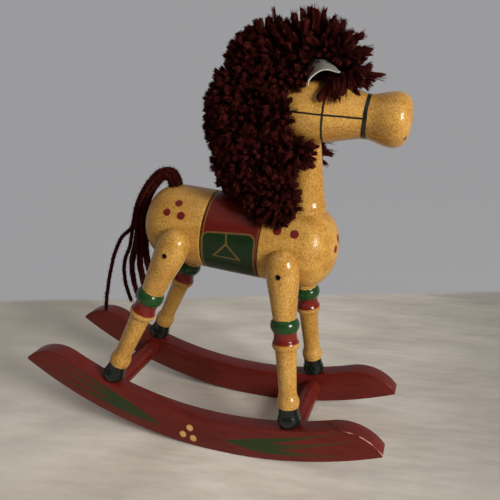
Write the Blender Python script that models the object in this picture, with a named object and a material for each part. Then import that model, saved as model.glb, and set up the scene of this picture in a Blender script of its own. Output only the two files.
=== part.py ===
"""Turned-wood rocking horse, a tabletop ornament.

Frame: +X to the horse's nose, +Y to its left, +Z up, origin on the floor under the middle of
the whole.  All lengths are metres.  The pieces are laid out with the rockers level, and the
last step turns the whole nose down to the attitude in which it balances on its curved rockers.
"""

import math

import bmesh
import bpy
from mathutils import Matrix, Quaternion, Vector

# ---------------------------------------------------------------- driving dimensions
MM = 0.001
GAP = 0.3 * MM                      # air kept between pieces that touch

# attitude at rest: the head's weight rocks the horse this far forward
REST_TILT = math.radians(6.0)

# rockers: boards 12 mm thick, sawn between two arcs
ROCKER_HALF_LENGTH = 120.5 * MM
ROCKER_THICKNESS = 11.7 * MM
ROCKER_OUTER_Y = 40.5 * MM
ROCKER_BOTTOM_RADIUS = 258 * MM
ROCKER_TOP_RADIUS = 232.5 * MM
ROCKER_WAIST = 20.9 * MM            # height of the board at the middle
ROCKER_NOSE_RADIUS = 28.5 * MM      # rounded top corner at each end
ROCKER_TIP_LIFT = 1.4 * MM          # the blunt tip's own height
ROCKER_INNER_Y = ROCKER_OUTER_Y - ROCKER_THICKNESS
ROCKER_FACET = REST_TILT / 2.5      # angle of one flat of the sanded bottom, so one is down at rest

# crossbars: round dowels glued into blind holes in the rockers' inner faces
CROSSBAR_RADIUS = 6.3 * MM
CROSSBAR_SOCKET = 3.0 * MM
CROSSBAR_X = {"front": 64 * MM, "rear": -61.5 * MM}
CROSSBAR_Z = 18.8 * MM

# body: one turning on an axis along X
BODY_AXIS_Z = 133.2 * MM
BODY_RADIUS = 24.5 * MM
RUMP_END, RUMP_START, RUMP_POWER = -49.4 * MM, -25.4 * MM, 2.65
CHEST_START, CHEST_END, CHEST_POWER = 55.5 * MM, 73.0 * MM, 2.0
SADDLE_REAR, SADDLE_FRONT = -6.0 * MM, 29.6 * MM
GROOVE_HALF_WIDTH, GROOVE_DEPTH = 0.9 * MM, 0.8 * MM

# neck: a tapered dowel that leans back, with a tenon at each end
NECK_BASE_X = 51.0 * MM
NECK_LEAN = math.radians(-7.5)
NECK_BASE_RADIUS, NECK_TOP_RADIUS = 11.2 * MM, 8.4 * MM
NECK_TENON_RADIUS, NECK_TENON_DEPTH = 5.5 * MM, 12 * MM
NECK_COPE_ALLOWANCE = 6 * MM        # extra length that the cope cuts away
NECK_SHOULDER = 2 * MM              # straight stretch above the barrel, before the taper

# head: one turning on an axis along X
HEAD_AXIS_Z = 213.4 * MM
HEAD_PROFILE = [                    # distance along X, radius
    (27.0, 4.0), (28.2, 8.5), (31.0, 13.2), (35.0, 16.6), (40.0, 18.3), (46.0, 18.8),
    (52.0, 18.2), (57.0, 17.2), (64.0, 15.4), (71.0, 13.6), (76.0, 12.5), (79.0, 12.2),
    (83.0, 12.8), (87.0, 14.0), (91.0, 14.9), (95.0, 14.9), (98.5, 13.4), (100.8, 10.6),
    (102.0, 6.5), (102.4, 3.0),
]

# legs: turned, each set on a rocker's top edge and pinned to the barrel with one brad
HOOF_Y = 33.5 * MM
LEGS = {                            # foot X, lean in X per unit of height, inward lean, stretch
    "front": (63.2 * MM, -0.179, 0.102, 1.0),
    "rear": (-59.2 * MM, 0.384, 0.070, 1.065),
}
LEG_PROFILE = [                     # distance up the leg, radius
    (-3.0, 5.0), (0.3, 5.6), (1.6, 6.6), (3.7, 7.15), (6.0, 6.8), (8.0, 6.25), (11.5, 6.2),
    (13.5, 6.6), (15.8, 6.85), (18.2, 6.4), (20.0, 5.7), (24.0, 5.5), (36.0, 5.9), (48.0, 6.5),
    (49.6, 7.5), (51.6, 8.2), (53.8, 7.8), (55.2, 7.1), (57.6, 6.9), (59.8, 7.1), (61.4, 8.1),
    (64.0, 8.75), (66.6, 8.1), (68.2, 7.05), (73.0, 7.6), (80.0, 8.3), (88.0, 9.3), (95.0, 9.85),
    (100.5, 9.6), (105.0, 8.1), (108.0, 5.2), (109.3, 2.2),
]
LEG_TENON_RADIUS, LEG_TENON_DEPTH = 2.0 * MM, 4.0 * MM

# brads: one through each leg into the barrel, the head set below the surface
BRAD_Z = 123.5 * MM
BRAD_HEAD_RADIUS, BRAD_HEAD_LENGTH = 0.9 * MM, 1.0 * MM
BRAD_SHANK_RADIUS, BRAD_LENGTH, BRAD_POINT = 0.55 * MM, 15 * MM, 1 * MM
BRAD_HOLE_RADIUS = 1.25 * MM
BRAD_HEAD_Y = 30.6 * MM

# ears: curled leaves of leatherette, given by three edges from base to tip (right ear)
EAR_THICKNESS = 1.0 * MM
EAR_ROOM = 1.6 * MM                 # clearance that the yarn keeps around an ear
EAR_NEAR_EDGE = [
    (46.8, -15.0, 226.6), (48.0, -17.6, 230.6), (52.6, -19.0, 235.0), (57.2, -18.2, 236.3),
    (62.2, -15.6, 235.2),
]
EAR_CREST = [
    (44.6, -11.0, 236.0), (47.6, -12.2, 239.2), (52.4, -13.2, 240.4), (57.2, -14.0, 239.0),
    (62.6, -15.2, 235.6),
]
EAR_FAR_EDGE = [
    (44.0, -6.0, 236.6), (47.0, -7.2, 239.0), (52.0, -9.4, 239.6), (57.4, -11.8, 238.0),
    (62.8, -14.8, 235.2),
]

# mane: the mass of cut yarn, as overlapping ellipsoids (centre, half-axes)
MANE_LUMPS = [
    ((12.0, 0.0, 206.0), (28.0, 25.0, 36.0)),
    ((26.0, 0.0, 232.0), (32.0, 22.0, 27.0)),
    ((46.0, 0.0, 241.0), (25.0, 17.0, 20.0)),
    ((60.0, 0.0, 235.0), (16.0, 14.0, 14.0)),
    ((18.0, 0.0, 180.0), (27.0, 26.0, 27.0)),
    ((42.0, 0.0, 188.0), (13.0, 21.0, 14.0)),
    ((34.0, -14.0, 164.0), (17.0, 11.0, 18.0)),
    ((34.0, 14.0, 164.0), (17.0, 11.0, 18.0)),
    ((30.0, -15.0, 209.0), (11.5, 9.5, 13.0)),
    ((30.0, 15.0, 209.0), (11.5, 9.5, 13.0)),
]
MANE_CROWN_BASE_Z = 214 * MM        # the crown starts here, above the neck's mane
FORELOCK_BASE_X = 52 * MM           # the forelock starts here, ahead of the crown

# tail: strands of yarn that rise from a hole in the rump and hang
YARN_RADIUS = 1.15 * MM
YARN_PITCH = 2.65 * MM              # spacing of the strands in the bundle
ROW_PITCH = 0.87 * YARN_PITCH       # spacing of its rows, which nest
TAIL_TIGHT_POINTS, TAIL_LOOSENING = 5, 0.15  # after this many points the spacing grows by this a point
TAIL_HOLE_X = -34.5 * MM
TAIL_HOLE_RADIUS, TAIL_HOLE_DEPTH = 5.6 * MM, 7 * MM
TAIL_ROUTE = [                      # the middle of the bundle, X and Z
    (-34.5, 152.6), (-34.3, 158.5), (-37.5, 163.4), (-42.5, 163.2), (-47.5, 158.8), (-53.0, 150.5),
    (-57.0, 140.0), (-58.5, 129.0),
]
TAIL_STRANDS = [                    # place in the bundle (row, across), then points it hangs through
    ((1.0, 0.0), [
        (-66.0, 0.0, 121.5), (-72.6, 0.0, 114.0), (-78.0, 0.0, 100.0), (-81.2, 0.0, 85.0),
        (-83.4, 0.0, 70.0), (-84.2, 0.0, 57.0),
    ]),
    ((1.0, -1.0), [(-63.5, -3.6, 113.0), (-67.3, -4.4, 99.0), (-66.0, -5.0, 85.0), (-60.7, -5.6, 72.0)]),
    ((1.0, 1.0), [(-64.0, 3.8, 113.0), (-67.5, 5.0, 98.0), (-66.5, 5.4, 84.0), (-62.0, 5.6, 71.0)]),
    ((0.0, -1.5), [(-57.8, -6.0, 113.0), (-59.4, -7.6, 99.0), (-57.2, -8.4, 86.0), (-53.0, -9.0, 76.0)]),
    ((0.0, -0.5), [(-60.6, -1.6, 112.0), (-62.4, -2.0, 98.0), (-60.2, -2.0, 84.0), (-56.0, -2.0, 71.0)]),
    ((0.0, 0.5), [(-59.6, 2.0, 112.0), (-60.4, 2.6, 98.0), (-57.4, 2.8, 84.0), (-52.5, 2.8, 73.0)]),
    ((0.0, 1.5), [(-57.8, 6.2, 112.0), (-57.4, 8.2, 98.0), (-54.0, 9.2, 85.0)]),
    ((-1.0, -1.0), [(-55.0, -3.6, 113.0), (-54.2, -5.0, 100.0), (-50.0, -5.6, 88.0)]),
    ((-1.0, 0.0), [(-55.4, 0.4, 112.0), (-53.6, 0.4, 100.0), (-49.5, 0.4, 89.0)]),
    ((-1.0, 1.0), [(-55.2, 4.0, 112.0), (-54.2, 5.2, 100.0), (-50.6, 5.8, 90.0)]),
]

# how finely the round pieces are faceted
BODY_SIDES, HEAD_SIDES, NECK_SIDES, LEG_SIDES, DOWEL_SIDES, BRAD_SIDES = 28, 24, 20, 16, 20, 8
TENON_SIDES, TAIL_HOLE_SIDES = 12, 16

# ---------------------------------------------------------------- materials
MATERIALS = {                       # base colour (linear), roughness, metallic
    "varnished_wood": ((0.60, 0.38, 0.13), 0.30, 0.0),
    "red_paint": ((0.22, 0.030, 0.022), 0.45, 0.0),
    "steel": ((0.25, 0.22, 0.18), 0.45, 1.0),
    "yarn": ((0.055, 0.012, 0.012), 0.95, 0.0),
    "leatherette": ((0.02, 0.02, 0.022), 0.60, 0.0),
}


def material(name):
    """The shared material of this name, made on first use."""
    made = bpy.data.materials.get(name)
    if made:
        return made
    colour, roughness, metallic = MATERIALS[name]
    made = bpy.data.materials.new(name)
    made.use_nodes = True
    shader = made.node_tree.nodes["Principled BSDF"]
    shader.inputs["Base Color"].default_value = (*colour, 1.0)
    shader.inputs["Roughness"].default_value = roughness
    shader.inputs["Metallic"].default_value = metallic
    return made


# ---------------------------------------------------------------- building blocks
def add_object(name, mesh, look=None):
    """Link a new object that shows this mesh."""
    piece = bpy.data.objects.new(name, mesh)
    bpy.context.scene.collection.objects.link(piece)
    if look:
        mesh.materials.append(material(look))
    return piece


def as_cutter(piece):
    """Hide a helper that only shapes other pieces."""
    piece.hide_render = True
    piece.display_type = "WIRE"
    return piece


def finish_mesh(build, name, smooth=True):
    """Turn a bmesh into mesh data with its faces pointing out."""
    bmesh.ops.recalc_face_normals(build, faces=build.faces)
    mesh = bpy.data.meshes.new(name)
    build.to_mesh(mesh)
    build.free()
    if smooth:
        mesh.shade_smooth()
        mesh.set_sharp_from_angle(angle=math.radians(35))
    return mesh


def turned_mesh(name, profile, sides, grow=0.0):
    """A closed turning about +Z from (height, radius) pairs; grow swells it evenly."""
    build = bmesh.new()
    rings = []
    for height, radius in profile:
        corners = [2 * math.pi * k / sides for k in range(sides)]
        reach = radius + grow
        rings.append([build.verts.new((reach * math.cos(a), reach * math.sin(a), height)) for a in corners])
    for lower, upper in zip(rings, rings[1:]):
        for k in range(sides):
            build.faces.new((lower[k], lower[(k + 1) % sides], upper[(k + 1) % sides], upper[k]))
    build.faces.new(list(reversed(rings[0])))
    build.faces.new(rings[-1])
    return finish_mesh(build, name)


def aim(direction, origin):
    """The placement that turns +Z to a direction and moves it to an origin."""
    turn = Vector((0, 0, 1)).rotation_difference(Vector(direction))
    return Matrix.Translation(Vector(origin)) @ turn.to_matrix().to_4x4()


def turning(name, profile, sides, origin, direction, look=None, grow=0.0):
    """A turned piece standing on origin and running along direction."""
    piece = add_object(name, turned_mesh(name, profile, sides, grow), look)
    piece.matrix_world = aim(direction, origin)
    return piece


def rod(name, start, end, radius, sides, look=None):
    """A plain round rod between two points."""
    start, end = Vector(start), Vector(end)
    profile = [(0.0, radius), ((end - start).length, radius)]
    return turning(name, profile, sides, start, end - start, look)


def slab(name, outline, low_y, high_y, look=None):
    """An outline in the XZ plane, extruded along Y."""
    build = bmesh.new()
    near = [build.verts.new((x, low_y, z)) for x, z in outline]
    far = [build.verts.new((x, high_y, z)) for x, z in outline]
    build.faces.new(near)
    build.faces.new(list(reversed(far)))
    for k in range(len(outline)):
        after = (k + 1) % len(outline)
        build.faces.new((near[after], near[k], far[k], far[after]))
    return add_object(name, finish_mesh(build, name), look)


def box(name, low, high):
    """A plain box between two corners."""
    build = bmesh.new()
    bmesh.ops.create_cube(build, size=1.0)
    low, high = Vector(low), Vector(high)
    for vertex in build.verts:
        vertex.co = (low + high) / 2 + Vector([(high - low)[i] * vertex.co[i] for i in range(3)])
    return add_object(name, finish_mesh(build, name, smooth=False))


def carve(piece, cutter, operation="DIFFERENCE"):
    """Cut, join or trim a piece with another, as a Boolean modifier."""
    modifier = piece.modifiers.new(operation.title(), "BOOLEAN")
    modifier.operation = operation
    modifier.object = cutter
    return piece


def in_metres(pairs):
    """The same list of tuples, from millimetres."""
    return [tuple(value * MM for value in pair) for pair in pairs]


# ---------------------------------------------------------------- rockers and crossbars
def arc_point(centre_z, radius, x):
    """Height of the lower half of a circle that is centred on the Z axis."""
    return centre_z - math.sqrt(radius ** 2 - x ** 2)


def rocker_top_z(x):
    return arc_point(ROCKER_WAIST + ROCKER_TOP_RADIUS, ROCKER_TOP_RADIUS, x)


def on_circle(centre, radius, angle):
    return centre.x + radius * math.cos(angle), centre.y + radius * math.sin(angle)


def rocker_outline(grow=0.0):
    """Both arcs, and at each end a rounded corner that runs into a blunt tip."""
    top_steps, nose_steps = 18, 7
    bottom_end_z = arc_point(ROCKER_BOTTOM_RADIUS, ROCKER_BOTTOM_RADIUS, ROCKER_HALF_LENGTH)
    tip = Vector((ROCKER_HALF_LENGTH, bottom_end_z + ROCKER_TIP_LIFT))
    top_centre = Vector((0.0, ROCKER_WAIST + ROCKER_TOP_RADIUS))
    # the corner's circle touches the top arc from below and passes through the tip
    reach = ROCKER_TOP_RADIUS + ROCKER_NOSE_RADIUS
    to_tip = tip - top_centre
    along = (reach ** 2 - ROCKER_NOSE_RADIUS ** 2 + to_tip.length ** 2) / (2 * to_tip.length)
    across = math.sqrt(reach ** 2 - along ** 2)
    unit = to_tip.normalized()
    nose_centre = top_centre + unit * along + Vector((unit.y, -unit.x)) * across
    touch = top_centre + (nose_centre - top_centre) * (ROCKER_TOP_RADIUS / reach)
    first = math.atan2(touch.y - nose_centre.y, touch.x - nose_centre.x)
    last = math.atan2(tip.y - nose_centre.y, tip.x - nose_centre.x)
    top_x = [touch.x * k / top_steps for k in range(top_steps)]
    half_top = [(x, rocker_top_z(x)) for x in top_x]
    nose_turns = [first + (last - first) * k / nose_steps for k in range(nose_steps + 1)]
    nose = [on_circle(nose_centre, ROCKER_NOSE_RADIUS, a) for a in nose_turns]
    front = half_top[1:] + nose
    rear = [(-x, z) for x, z in reversed(front)]
    top = [(x, z + grow) for x, z in rear + half_top[:1] + front]
    end = math.asin(ROCKER_HALF_LENGTH / ROCKER_BOTTOM_RADIUS)
    flats = math.floor(end / ROCKER_FACET)
    turns = [end] + [k * ROCKER_FACET for k in range(flats, -flats - 1, -1)] + [-end]
    bottom_centre = Vector((0.0, ROCKER_BOTTOM_RADIUS))
    bottom = [on_circle(bottom_centre, ROCKER_BOTTOM_RADIUS, a - math.pi / 2) for a in turns]
    return top + bottom


def make_rocker(side, sign):
    low, high = sorted((sign * ROCKER_INNER_Y, sign * ROCKER_OUTER_Y))
    rocker = slab("rocker_" + side, rocker_outline(), low, high, "red_paint")
    socket_y = sign * (ROCKER_INNER_Y + CROSSBAR_SOCKET + GAP)
    for end, x in CROSSBAR_X.items():
        inner, bottom = (x, 0, CROSSBAR_Z), (x, socket_y, CROSSBAR_Z)
        hole = rod(f"cut_crossbar_{end}_{side}", inner, bottom, CROSSBAR_RADIUS + GAP, DOWEL_SIDES)
        carve(rocker, as_cutter(hole))
    for end in LEGS:
        foot, up = leg_axis(end, sign)
        bottom, top = foot - up * (LEG_TENON_DEPTH + GAP), foot + up * LEG_TENON_DEPTH
        hole = rod(f"cut_tenon_{end}_{side}", bottom, top, LEG_TENON_RADIUS + GAP, TENON_SIDES)
        carve(rocker, as_cutter(hole))
    return rocker


def make_crossbar(end):
    x = CROSSBAR_X[end]
    reach = ROCKER_INNER_Y + CROSSBAR_SOCKET
    right, left = (x, -reach, CROSSBAR_Z), (x, reach, CROSSBAR_Z)
    return rod("crossbar_" + end, right, left, CROSSBAR_RADIUS, DOWEL_SIDES, "red_paint")


# ---------------------------------------------------------------- body, neck and head
def dome_profile(start, end, power):
    """A superellipse from near its pole at end to the full radius at start."""
    steps = 7
    profile = []
    for k in range(1, steps + 1):
        fraction = math.cos(math.pi / 2 * k / steps)
        radius = BODY_RADIUS * (1 - fraction ** power) ** (1 / power)
        profile.append((start + (end - start) * fraction, radius))
    return profile


def body_profile():
    """Rump dome, barrel with a V groove at each end of the saddle, chest dome."""
    grooves = []
    for x in (SADDLE_REAR, SADDLE_FRONT):
        bottom = BODY_RADIUS - GROOVE_DEPTH
        grooves += [(x - GROOVE_HALF_WIDTH, BODY_RADIUS), (x, bottom), (x + GROOVE_HALF_WIDTH, BODY_RADIUS)]
    rump = dome_profile(RUMP_START, RUMP_END, RUMP_POWER)
    chest = dome_profile(CHEST_START, CHEST_END, CHEST_POWER)
    return rump + grooves + list(reversed(chest))


def head_profile():
    return in_metres(HEAD_PROFILE)


def along_x(name, profile, sides, axis_z, look=None, grow=0.0):
    """A turning whose axis lies along +X at this height; its profile is in X."""
    return turning(name, profile, sides, (0, 0, axis_z), (1, 0, 0), look, grow)


def neck_axis():
    """Where the neck's axis meets the barrel's top, and its direction."""
    base = Vector((NECK_BASE_X, 0, BODY_AXIS_Z + BODY_RADIUS))
    return base, Vector((math.sin(NECK_LEAN), 0, math.cos(NECK_LEAN)))


def neck_height():
    """Length of the neck's axis between the barrel's top and the head's underside."""
    base, up = neck_axis()
    cheek_radius = max(radius for _, radius in head_profile())
    return (HEAD_AXIS_Z - cheek_radius - base.z) / up.z


def make_body():
    body = along_x("body", body_profile(), BODY_SIDES, BODY_AXIS_Z, "varnished_wood")
    base, up = neck_axis()
    bottom, top = base - up * (NECK_TENON_DEPTH + GAP), base + up * NECK_TENON_DEPTH
    carve(body, as_cutter(rod("cut_neck_socket", bottom, top, NECK_TENON_RADIUS + GAP, NECK_SIDES)))
    rump_top = BODY_AXIS_Z + BODY_RADIUS
    bottom = (TAIL_HOLE_X, 0, rump_top - TAIL_HOLE_DEPTH)
    top = (TAIL_HOLE_X, 0, rump_top + TAIL_HOLE_DEPTH)
    carve(body, as_cutter(rod("cut_tail_hole", bottom, top, TAIL_HOLE_RADIUS, TAIL_HOLE_SIDES)))
    for end in LEGS:
        for side, sign in SIDES.items():
            carve(body, brad_shank_hole("body", end, side, sign))
    return body


def make_head():
    head = along_x("head", head_profile(), HEAD_SIDES, HEAD_AXIS_Z, "varnished_wood")
    base, up = neck_axis()
    chin = base + up * neck_height()
    bottom, top = chin - up * NECK_TENON_DEPTH, chin + up * (NECK_TENON_DEPTH + GAP)
    return carve(head, as_cutter(rod("cut_head_socket", bottom, top, NECK_TENON_RADIUS + GAP, NECK_SIDES)))


def make_neck(body_envelope, head_envelope):
    """The tapered shank is coped to the barrel and the head; then the tenons are added."""
    base, up = neck_axis()
    height = neck_height()
    profile = [
        (-NECK_COPE_ALLOWANCE, NECK_BASE_RADIUS), (NECK_SHOULDER, NECK_BASE_RADIUS),
        (height / 2, (NECK_BASE_RADIUS + NECK_TOP_RADIUS) / 2),
        (height + NECK_COPE_ALLOWANCE, NECK_TOP_RADIUS),
    ]
    neck = turning("neck", profile, NECK_SIDES, base, up, "varnished_wood")
    carve(neck, body_envelope)
    carve(neck, head_envelope)
    bottom, top = base - up * NECK_TENON_DEPTH, base + up * (height + NECK_TENON_DEPTH)
    tenons = rod("add_neck_tenons", bottom, top, NECK_TENON_RADIUS, NECK_SIDES)
    return carve(neck, as_cutter(tenons), "UNION")


# ---------------------------------------------------------------- legs and their brads
def leg_axis(end, sign):
    """The middle of a hoof's sole on the rocker, and the direction up the leg."""
    x, lean, inward, _ = LEGS[end]
    return Vector((x, sign * HOOF_Y, rocker_top_z(x))), Vector((lean, -sign * inward, 1.0)).normalized()


def brad_place(end, sign):
    """Where the brad's own axis crosses the leg's axis."""
    foot, up = leg_axis(end, sign)
    return foot + up * ((BRAD_Z - foot.z) / up.z)


def brad_shank_hole(owner, end, side, sign):
    place = brad_place(end, sign)
    tip = (place.x, sign * (BRAD_HEAD_Y - BRAD_LENGTH - GAP), place.z)
    outside = (place.x, sign * ROCKER_OUTER_Y, place.z)
    name = f"cut_shank_{owner}_{end}_{side}"
    return as_cutter(rod(name, tip, outside, BRAD_SHANK_RADIUS + GAP, BRAD_SIDES))


def make_leg(end, side, sign, body_envelope, rocker_envelope):
    """A turned leg: sole cut to the rocker, inner side coped to the barrel, drilled for its brad."""
    foot, up = leg_axis(end, sign)
    stretch = LEGS[end][3]
    profile = [(height * stretch * MM, radius * MM) for height, radius in LEG_PROFILE]
    leg = turning(f"leg_{end}_{side}", profile, LEG_SIDES, foot, up, "varnished_wood")
    carve(leg, rocker_envelope)
    carve(leg, body_envelope)
    bottom, top = foot - up * LEG_TENON_DEPTH, foot + up * LEG_TENON_DEPTH
    carve(leg, as_cutter(rod(f"add_tenon_{end}_{side}", bottom, top, LEG_TENON_RADIUS, TENON_SIDES)), "UNION")
    place = brad_place(end, sign)
    bottom = (place.x, sign * (BRAD_HEAD_Y - BRAD_HEAD_LENGTH - GAP), place.z)
    outside = (place.x, sign * ROCKER_OUTER_Y, place.z)
    carve(leg, as_cutter(rod(f"cut_head_{end}_{side}", bottom, outside, BRAD_HOLE_RADIUS, TENON_SIDES)))
    return carve(leg, brad_shank_hole("leg", end, side, sign))


def make_brad(end, side, sign):
    """Head and shank, pointing in along Y."""
    place = brad_place(end, sign)
    step = 0.01 * MM
    profile = [
        (0.0, BRAD_HEAD_RADIUS), (BRAD_HEAD_LENGTH, BRAD_HEAD_RADIUS),
        (BRAD_HEAD_LENGTH + step, BRAD_SHANK_RADIUS), (BRAD_LENGTH - BRAD_POINT, BRAD_SHANK_RADIUS),
        (BRAD_LENGTH, BRAD_SHANK_RADIUS / 2),
    ]
    outer_end = (place.x, sign * BRAD_HEAD_Y, place.z)
    return turning(f"brad_{end}_{side}", profile, BRAD_SIDES, outer_end, (0, -sign, 0), "steel")


# ---------------------------------------------------------------- ears
def smooth_route(points, steps):
    """Points along a Catmull-Rom curve through the given ones."""
    points = [Vector(p) for p in points]
    padded = [2 * points[0] - points[1]] + points + [2 * points[-1] - points[-2]]
    route = []
    for before, start, end, after in zip(padded, padded[1:], padded[2:], padded[3:]):
        for k in range(steps):
            t = k / steps
            bend = 2 * before - 5 * start + 4 * end - after
            twist = 3 * start - before - 3 * end + after
            route.append(0.5 * (2 * start + (end - before) * t + bend * t ** 2 + twist * t ** 3))
    return route + [points[-1]]


def ear_grid(sign):
    """Rows of points from base to tip, each an arc from the near edge over the crest to the far edge."""
    edges = [smooth_route(in_metres(edge), 2) for edge in (EAR_NEAR_EDGE, EAR_CREST, EAR_FAR_EDGE)]
    across_steps = 6
    rows = []
    for near, crest, far in zip(*edges):
        row = []
        for k in range(across_steps + 1):
            t = k / across_steps
            # the parabola through the three edges' points
            point = near * (1 - t) * (1 - 2 * t) + crest * 4 * t * (1 - t) + far * t * (2 * t - 1)
            row.append(Vector((point.x, -sign * point.y, point.z)))
        rows.append(row)
    return rows


def make_ear(side, sign):
    build = bmesh.new()
    rows = [[build.verts.new(point) for point in row] for row in ear_grid(sign)]
    for lower, upper in zip(rows, rows[1:]):
        for k in range(len(lower) - 1):
            build.faces.new((lower[k], lower[k + 1], upper[k + 1], upper[k]))
    ear = add_object("ear_" + side, finish_mesh(build, "ear_" + side), "leatherette")
    thickness = ear.modifiers.new("Sheet thickness", "SOLIDIFY")
    thickness.thickness = EAR_THICKNESS
    thickness.offset = 0.0
    return ear


def ear_pocket(side, sign):
    """The room that an ear takes in the mane: the convex hull of its points, grown all round."""
    build = bmesh.new()
    for point in [point for row in ear_grid(sign) for point in row]:
        for corner in [(a, b, c) for a in (-1, 1) for b in (-1, 1) for c in (-1, 1)]:
            build.verts.new(point + Vector(corner) * EAR_ROOM)
    bmesh.ops.convex_hull(build, input=build.verts)
    bmesh.ops.delete(build, geom=[v for v in build.verts if not v.link_faces], context="VERTS")
    return as_cutter(add_object("cut_ear_pocket_" + side, finish_mesh(build, "ear_pocket_" + side)))


# ---------------------------------------------------------------- mane
def mane_lump(index, centre, half_axes):
    build = bmesh.new()
    bmesh.ops.create_icosphere(build, subdivisions=3, radius=1.0)
    for vertex in build.verts:
        vertex.co = Vector([(centre[i] + half_axes[i] * vertex.co[i]) * MM for i in range(3)])
    return add_object(f"lump_{index}", finish_mesh(build, f"lump_{index}"), "yarn")


def make_mane_piece(name, room, obstacles):
    """The part of the yarn mass inside a box, cut clear of the wood and the ears."""
    mass = mane_lump(name, *MANE_LUMPS[0])
    mass.name = name
    for index, (centre, half_axes) in enumerate(MANE_LUMPS[1:]):
        carve(mass, as_cutter(mane_lump(f"{name}_{index}", centre, half_axes)), "UNION")
    carve(mass, as_cutter(box("room_" + name, *room)), "INTERSECT")
    for obstacle in obstacles:
        carve(mass, obstacle)
    return mass


# ---------------------------------------------------------------- tail
def bundle_lead(place):
    """The stretch of a strand that lies in the bundle, which loosens over the rump."""
    route = [Vector(point) for point in in_metres(TAIL_ROUTE)]
    lead = []
    for k, point in enumerate(route):
        before, after = route[max(k - 1, 0)], route[min(k + 1, len(route) - 1)]
        heading = (after - before).normalized()
        outward = Vector((heading.y, -heading.x))
        loosening = 1.0 + TAIL_LOOSENING * max(0, k - TAIL_TIGHT_POINTS)
        middle = point + outward * place[0] * ROW_PITCH * loosening
        lead.append((middle.x, place[1] * YARN_PITCH * loosening, middle.y))
    return lead


def tail_strand(index, place, hanging_points):
    """One strand of yarn: up out of the rump, over with the bundle, then down on its own."""
    points = smooth_route(bundle_lead(place) + in_metres(hanging_points), 2)
    curve = bpy.data.curves.new(f"tail_strand_{index}", "CURVE")
    curve.dimensions = "3D"
    curve.bevel_depth = YARN_RADIUS
    curve.bevel_resolution = 2
    curve.use_fill_caps = True
    spline = curve.splines.new("POLY")
    spline.points.add(len(points) - 1)
    for target, point in zip(spline.points, points):
        target.co = (*point, 1.0)
    return add_object(f"tail_strand_{index}", curve, "yarn")


# ---------------------------------------------------------------- assembly
def rest_placement():
    """Turns the level layout nose down, and sets the lowest flat on the floor, centred in X."""
    turn = Matrix.Rotation(REST_TILT, 4, "Y")
    turned = [turn @ Vector((x, 0.0, z)) for x, z in rocker_outline()]
    middle = (min(p.x for p in turned) + max(p.x for p in turned)) / 2
    return Matrix.Translation((-middle, 0.0, -min(p.z for p in turned))) @ turn


SIDES = {"right": -1, "left": 1}


def main():
    for old in list(bpy.data.objects):
        bpy.data.objects.remove(old, do_unlink=True)

    body_envelope = as_cutter(along_x("envelope_body", body_profile(), BODY_SIDES, BODY_AXIS_Z, grow=GAP))
    head_envelope = as_cutter(along_x("envelope_head", head_profile(), HEAD_SIDES, HEAD_AXIS_Z, grow=GAP))
    base, up = neck_axis()
    bottom, top = base - up * NECK_COPE_ALLOWANCE, base + up * (neck_height() + NECK_COPE_ALLOWANCE)
    neck_envelope = as_cutter(rod("envelope_neck", bottom, top, NECK_BASE_RADIUS + GAP, NECK_SIDES))
    width = 2 * ROCKER_OUTER_Y
    rocker_envelope = as_cutter(slab("envelope_rockers", rocker_outline(GAP), -width, width))

    make_body()
    make_head()
    make_neck(body_envelope, head_envelope)
    for end in CROSSBAR_X:
        make_crossbar(end)
    for side, sign in SIDES.items():
        make_rocker(side, sign)
        make_ear(side, sign)
        for end in LEGS:
            make_leg(end, side, sign, body_envelope, rocker_envelope)
            make_brad(end, side, sign)

    pockets = [ear_pocket(side, sign) for side, sign in SIDES.items()]
    wood = [body_envelope, head_envelope, neck_envelope]
    far = 0.2                       # beyond the mane on every side
    split, brow = MANE_CROWN_BASE_Z, FORELOCK_BASE_X
    make_mane_piece("mane_neck", ((-far, -far, 0), (far, far, split - GAP)), wood)
    make_mane_piece("mane_crown", ((-far, -far, split), (brow - GAP, far, 2 * far)), wood + pockets)
    make_mane_piece("forelock", ((brow, -far, split), (far, far, 2 * far)), wood + pockets)

    for index, (place, hanging_points) in enumerate(TAIL_STRANDS, start=1):
        tail_strand(index, place, hanging_points)

    rest = rest_placement()
    for piece in bpy.data.objects:
        piece.matrix_world = rest @ piece.matrix_world


main()
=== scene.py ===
import math

import bmesh
import bpy
import numpy as np
from mathutils import Matrix, Vector


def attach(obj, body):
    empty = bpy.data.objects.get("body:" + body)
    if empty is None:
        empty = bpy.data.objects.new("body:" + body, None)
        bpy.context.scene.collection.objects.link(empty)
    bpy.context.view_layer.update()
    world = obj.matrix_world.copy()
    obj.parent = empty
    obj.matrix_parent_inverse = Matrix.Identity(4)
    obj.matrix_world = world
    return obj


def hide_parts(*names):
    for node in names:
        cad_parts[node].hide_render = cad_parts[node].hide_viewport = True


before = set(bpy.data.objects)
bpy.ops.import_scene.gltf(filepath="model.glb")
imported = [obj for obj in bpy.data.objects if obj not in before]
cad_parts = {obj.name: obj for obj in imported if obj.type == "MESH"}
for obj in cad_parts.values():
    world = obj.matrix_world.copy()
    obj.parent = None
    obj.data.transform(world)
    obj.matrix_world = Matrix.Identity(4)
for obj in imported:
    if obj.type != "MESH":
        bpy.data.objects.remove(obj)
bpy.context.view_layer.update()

MM = 0.001
SCENE = bpy.context.scene
SIDES = {"right": -1, "left": 1}


def linked(name, data):
    """A new object in the scene."""
    made = bpy.data.objects.new(name, data)
    SCENE.collection.objects.link(made)
    return made


# ================================================================ attitude at rest, and the camera
REST_TILT = math.radians(6.0)
ROCKER_HALF, ROCKER_R, ROCKER_WAIST, TOP_R, NOSE_R, TIP_LIFT = 120.5, 258.0, 20.9, 232.5, 28.5, 1.4
FACET = REST_TILT / 2.5             # angle of one flat of the sanded bottom
ARC_STEPS, NOSE_STEPS = 36, 21


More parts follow.
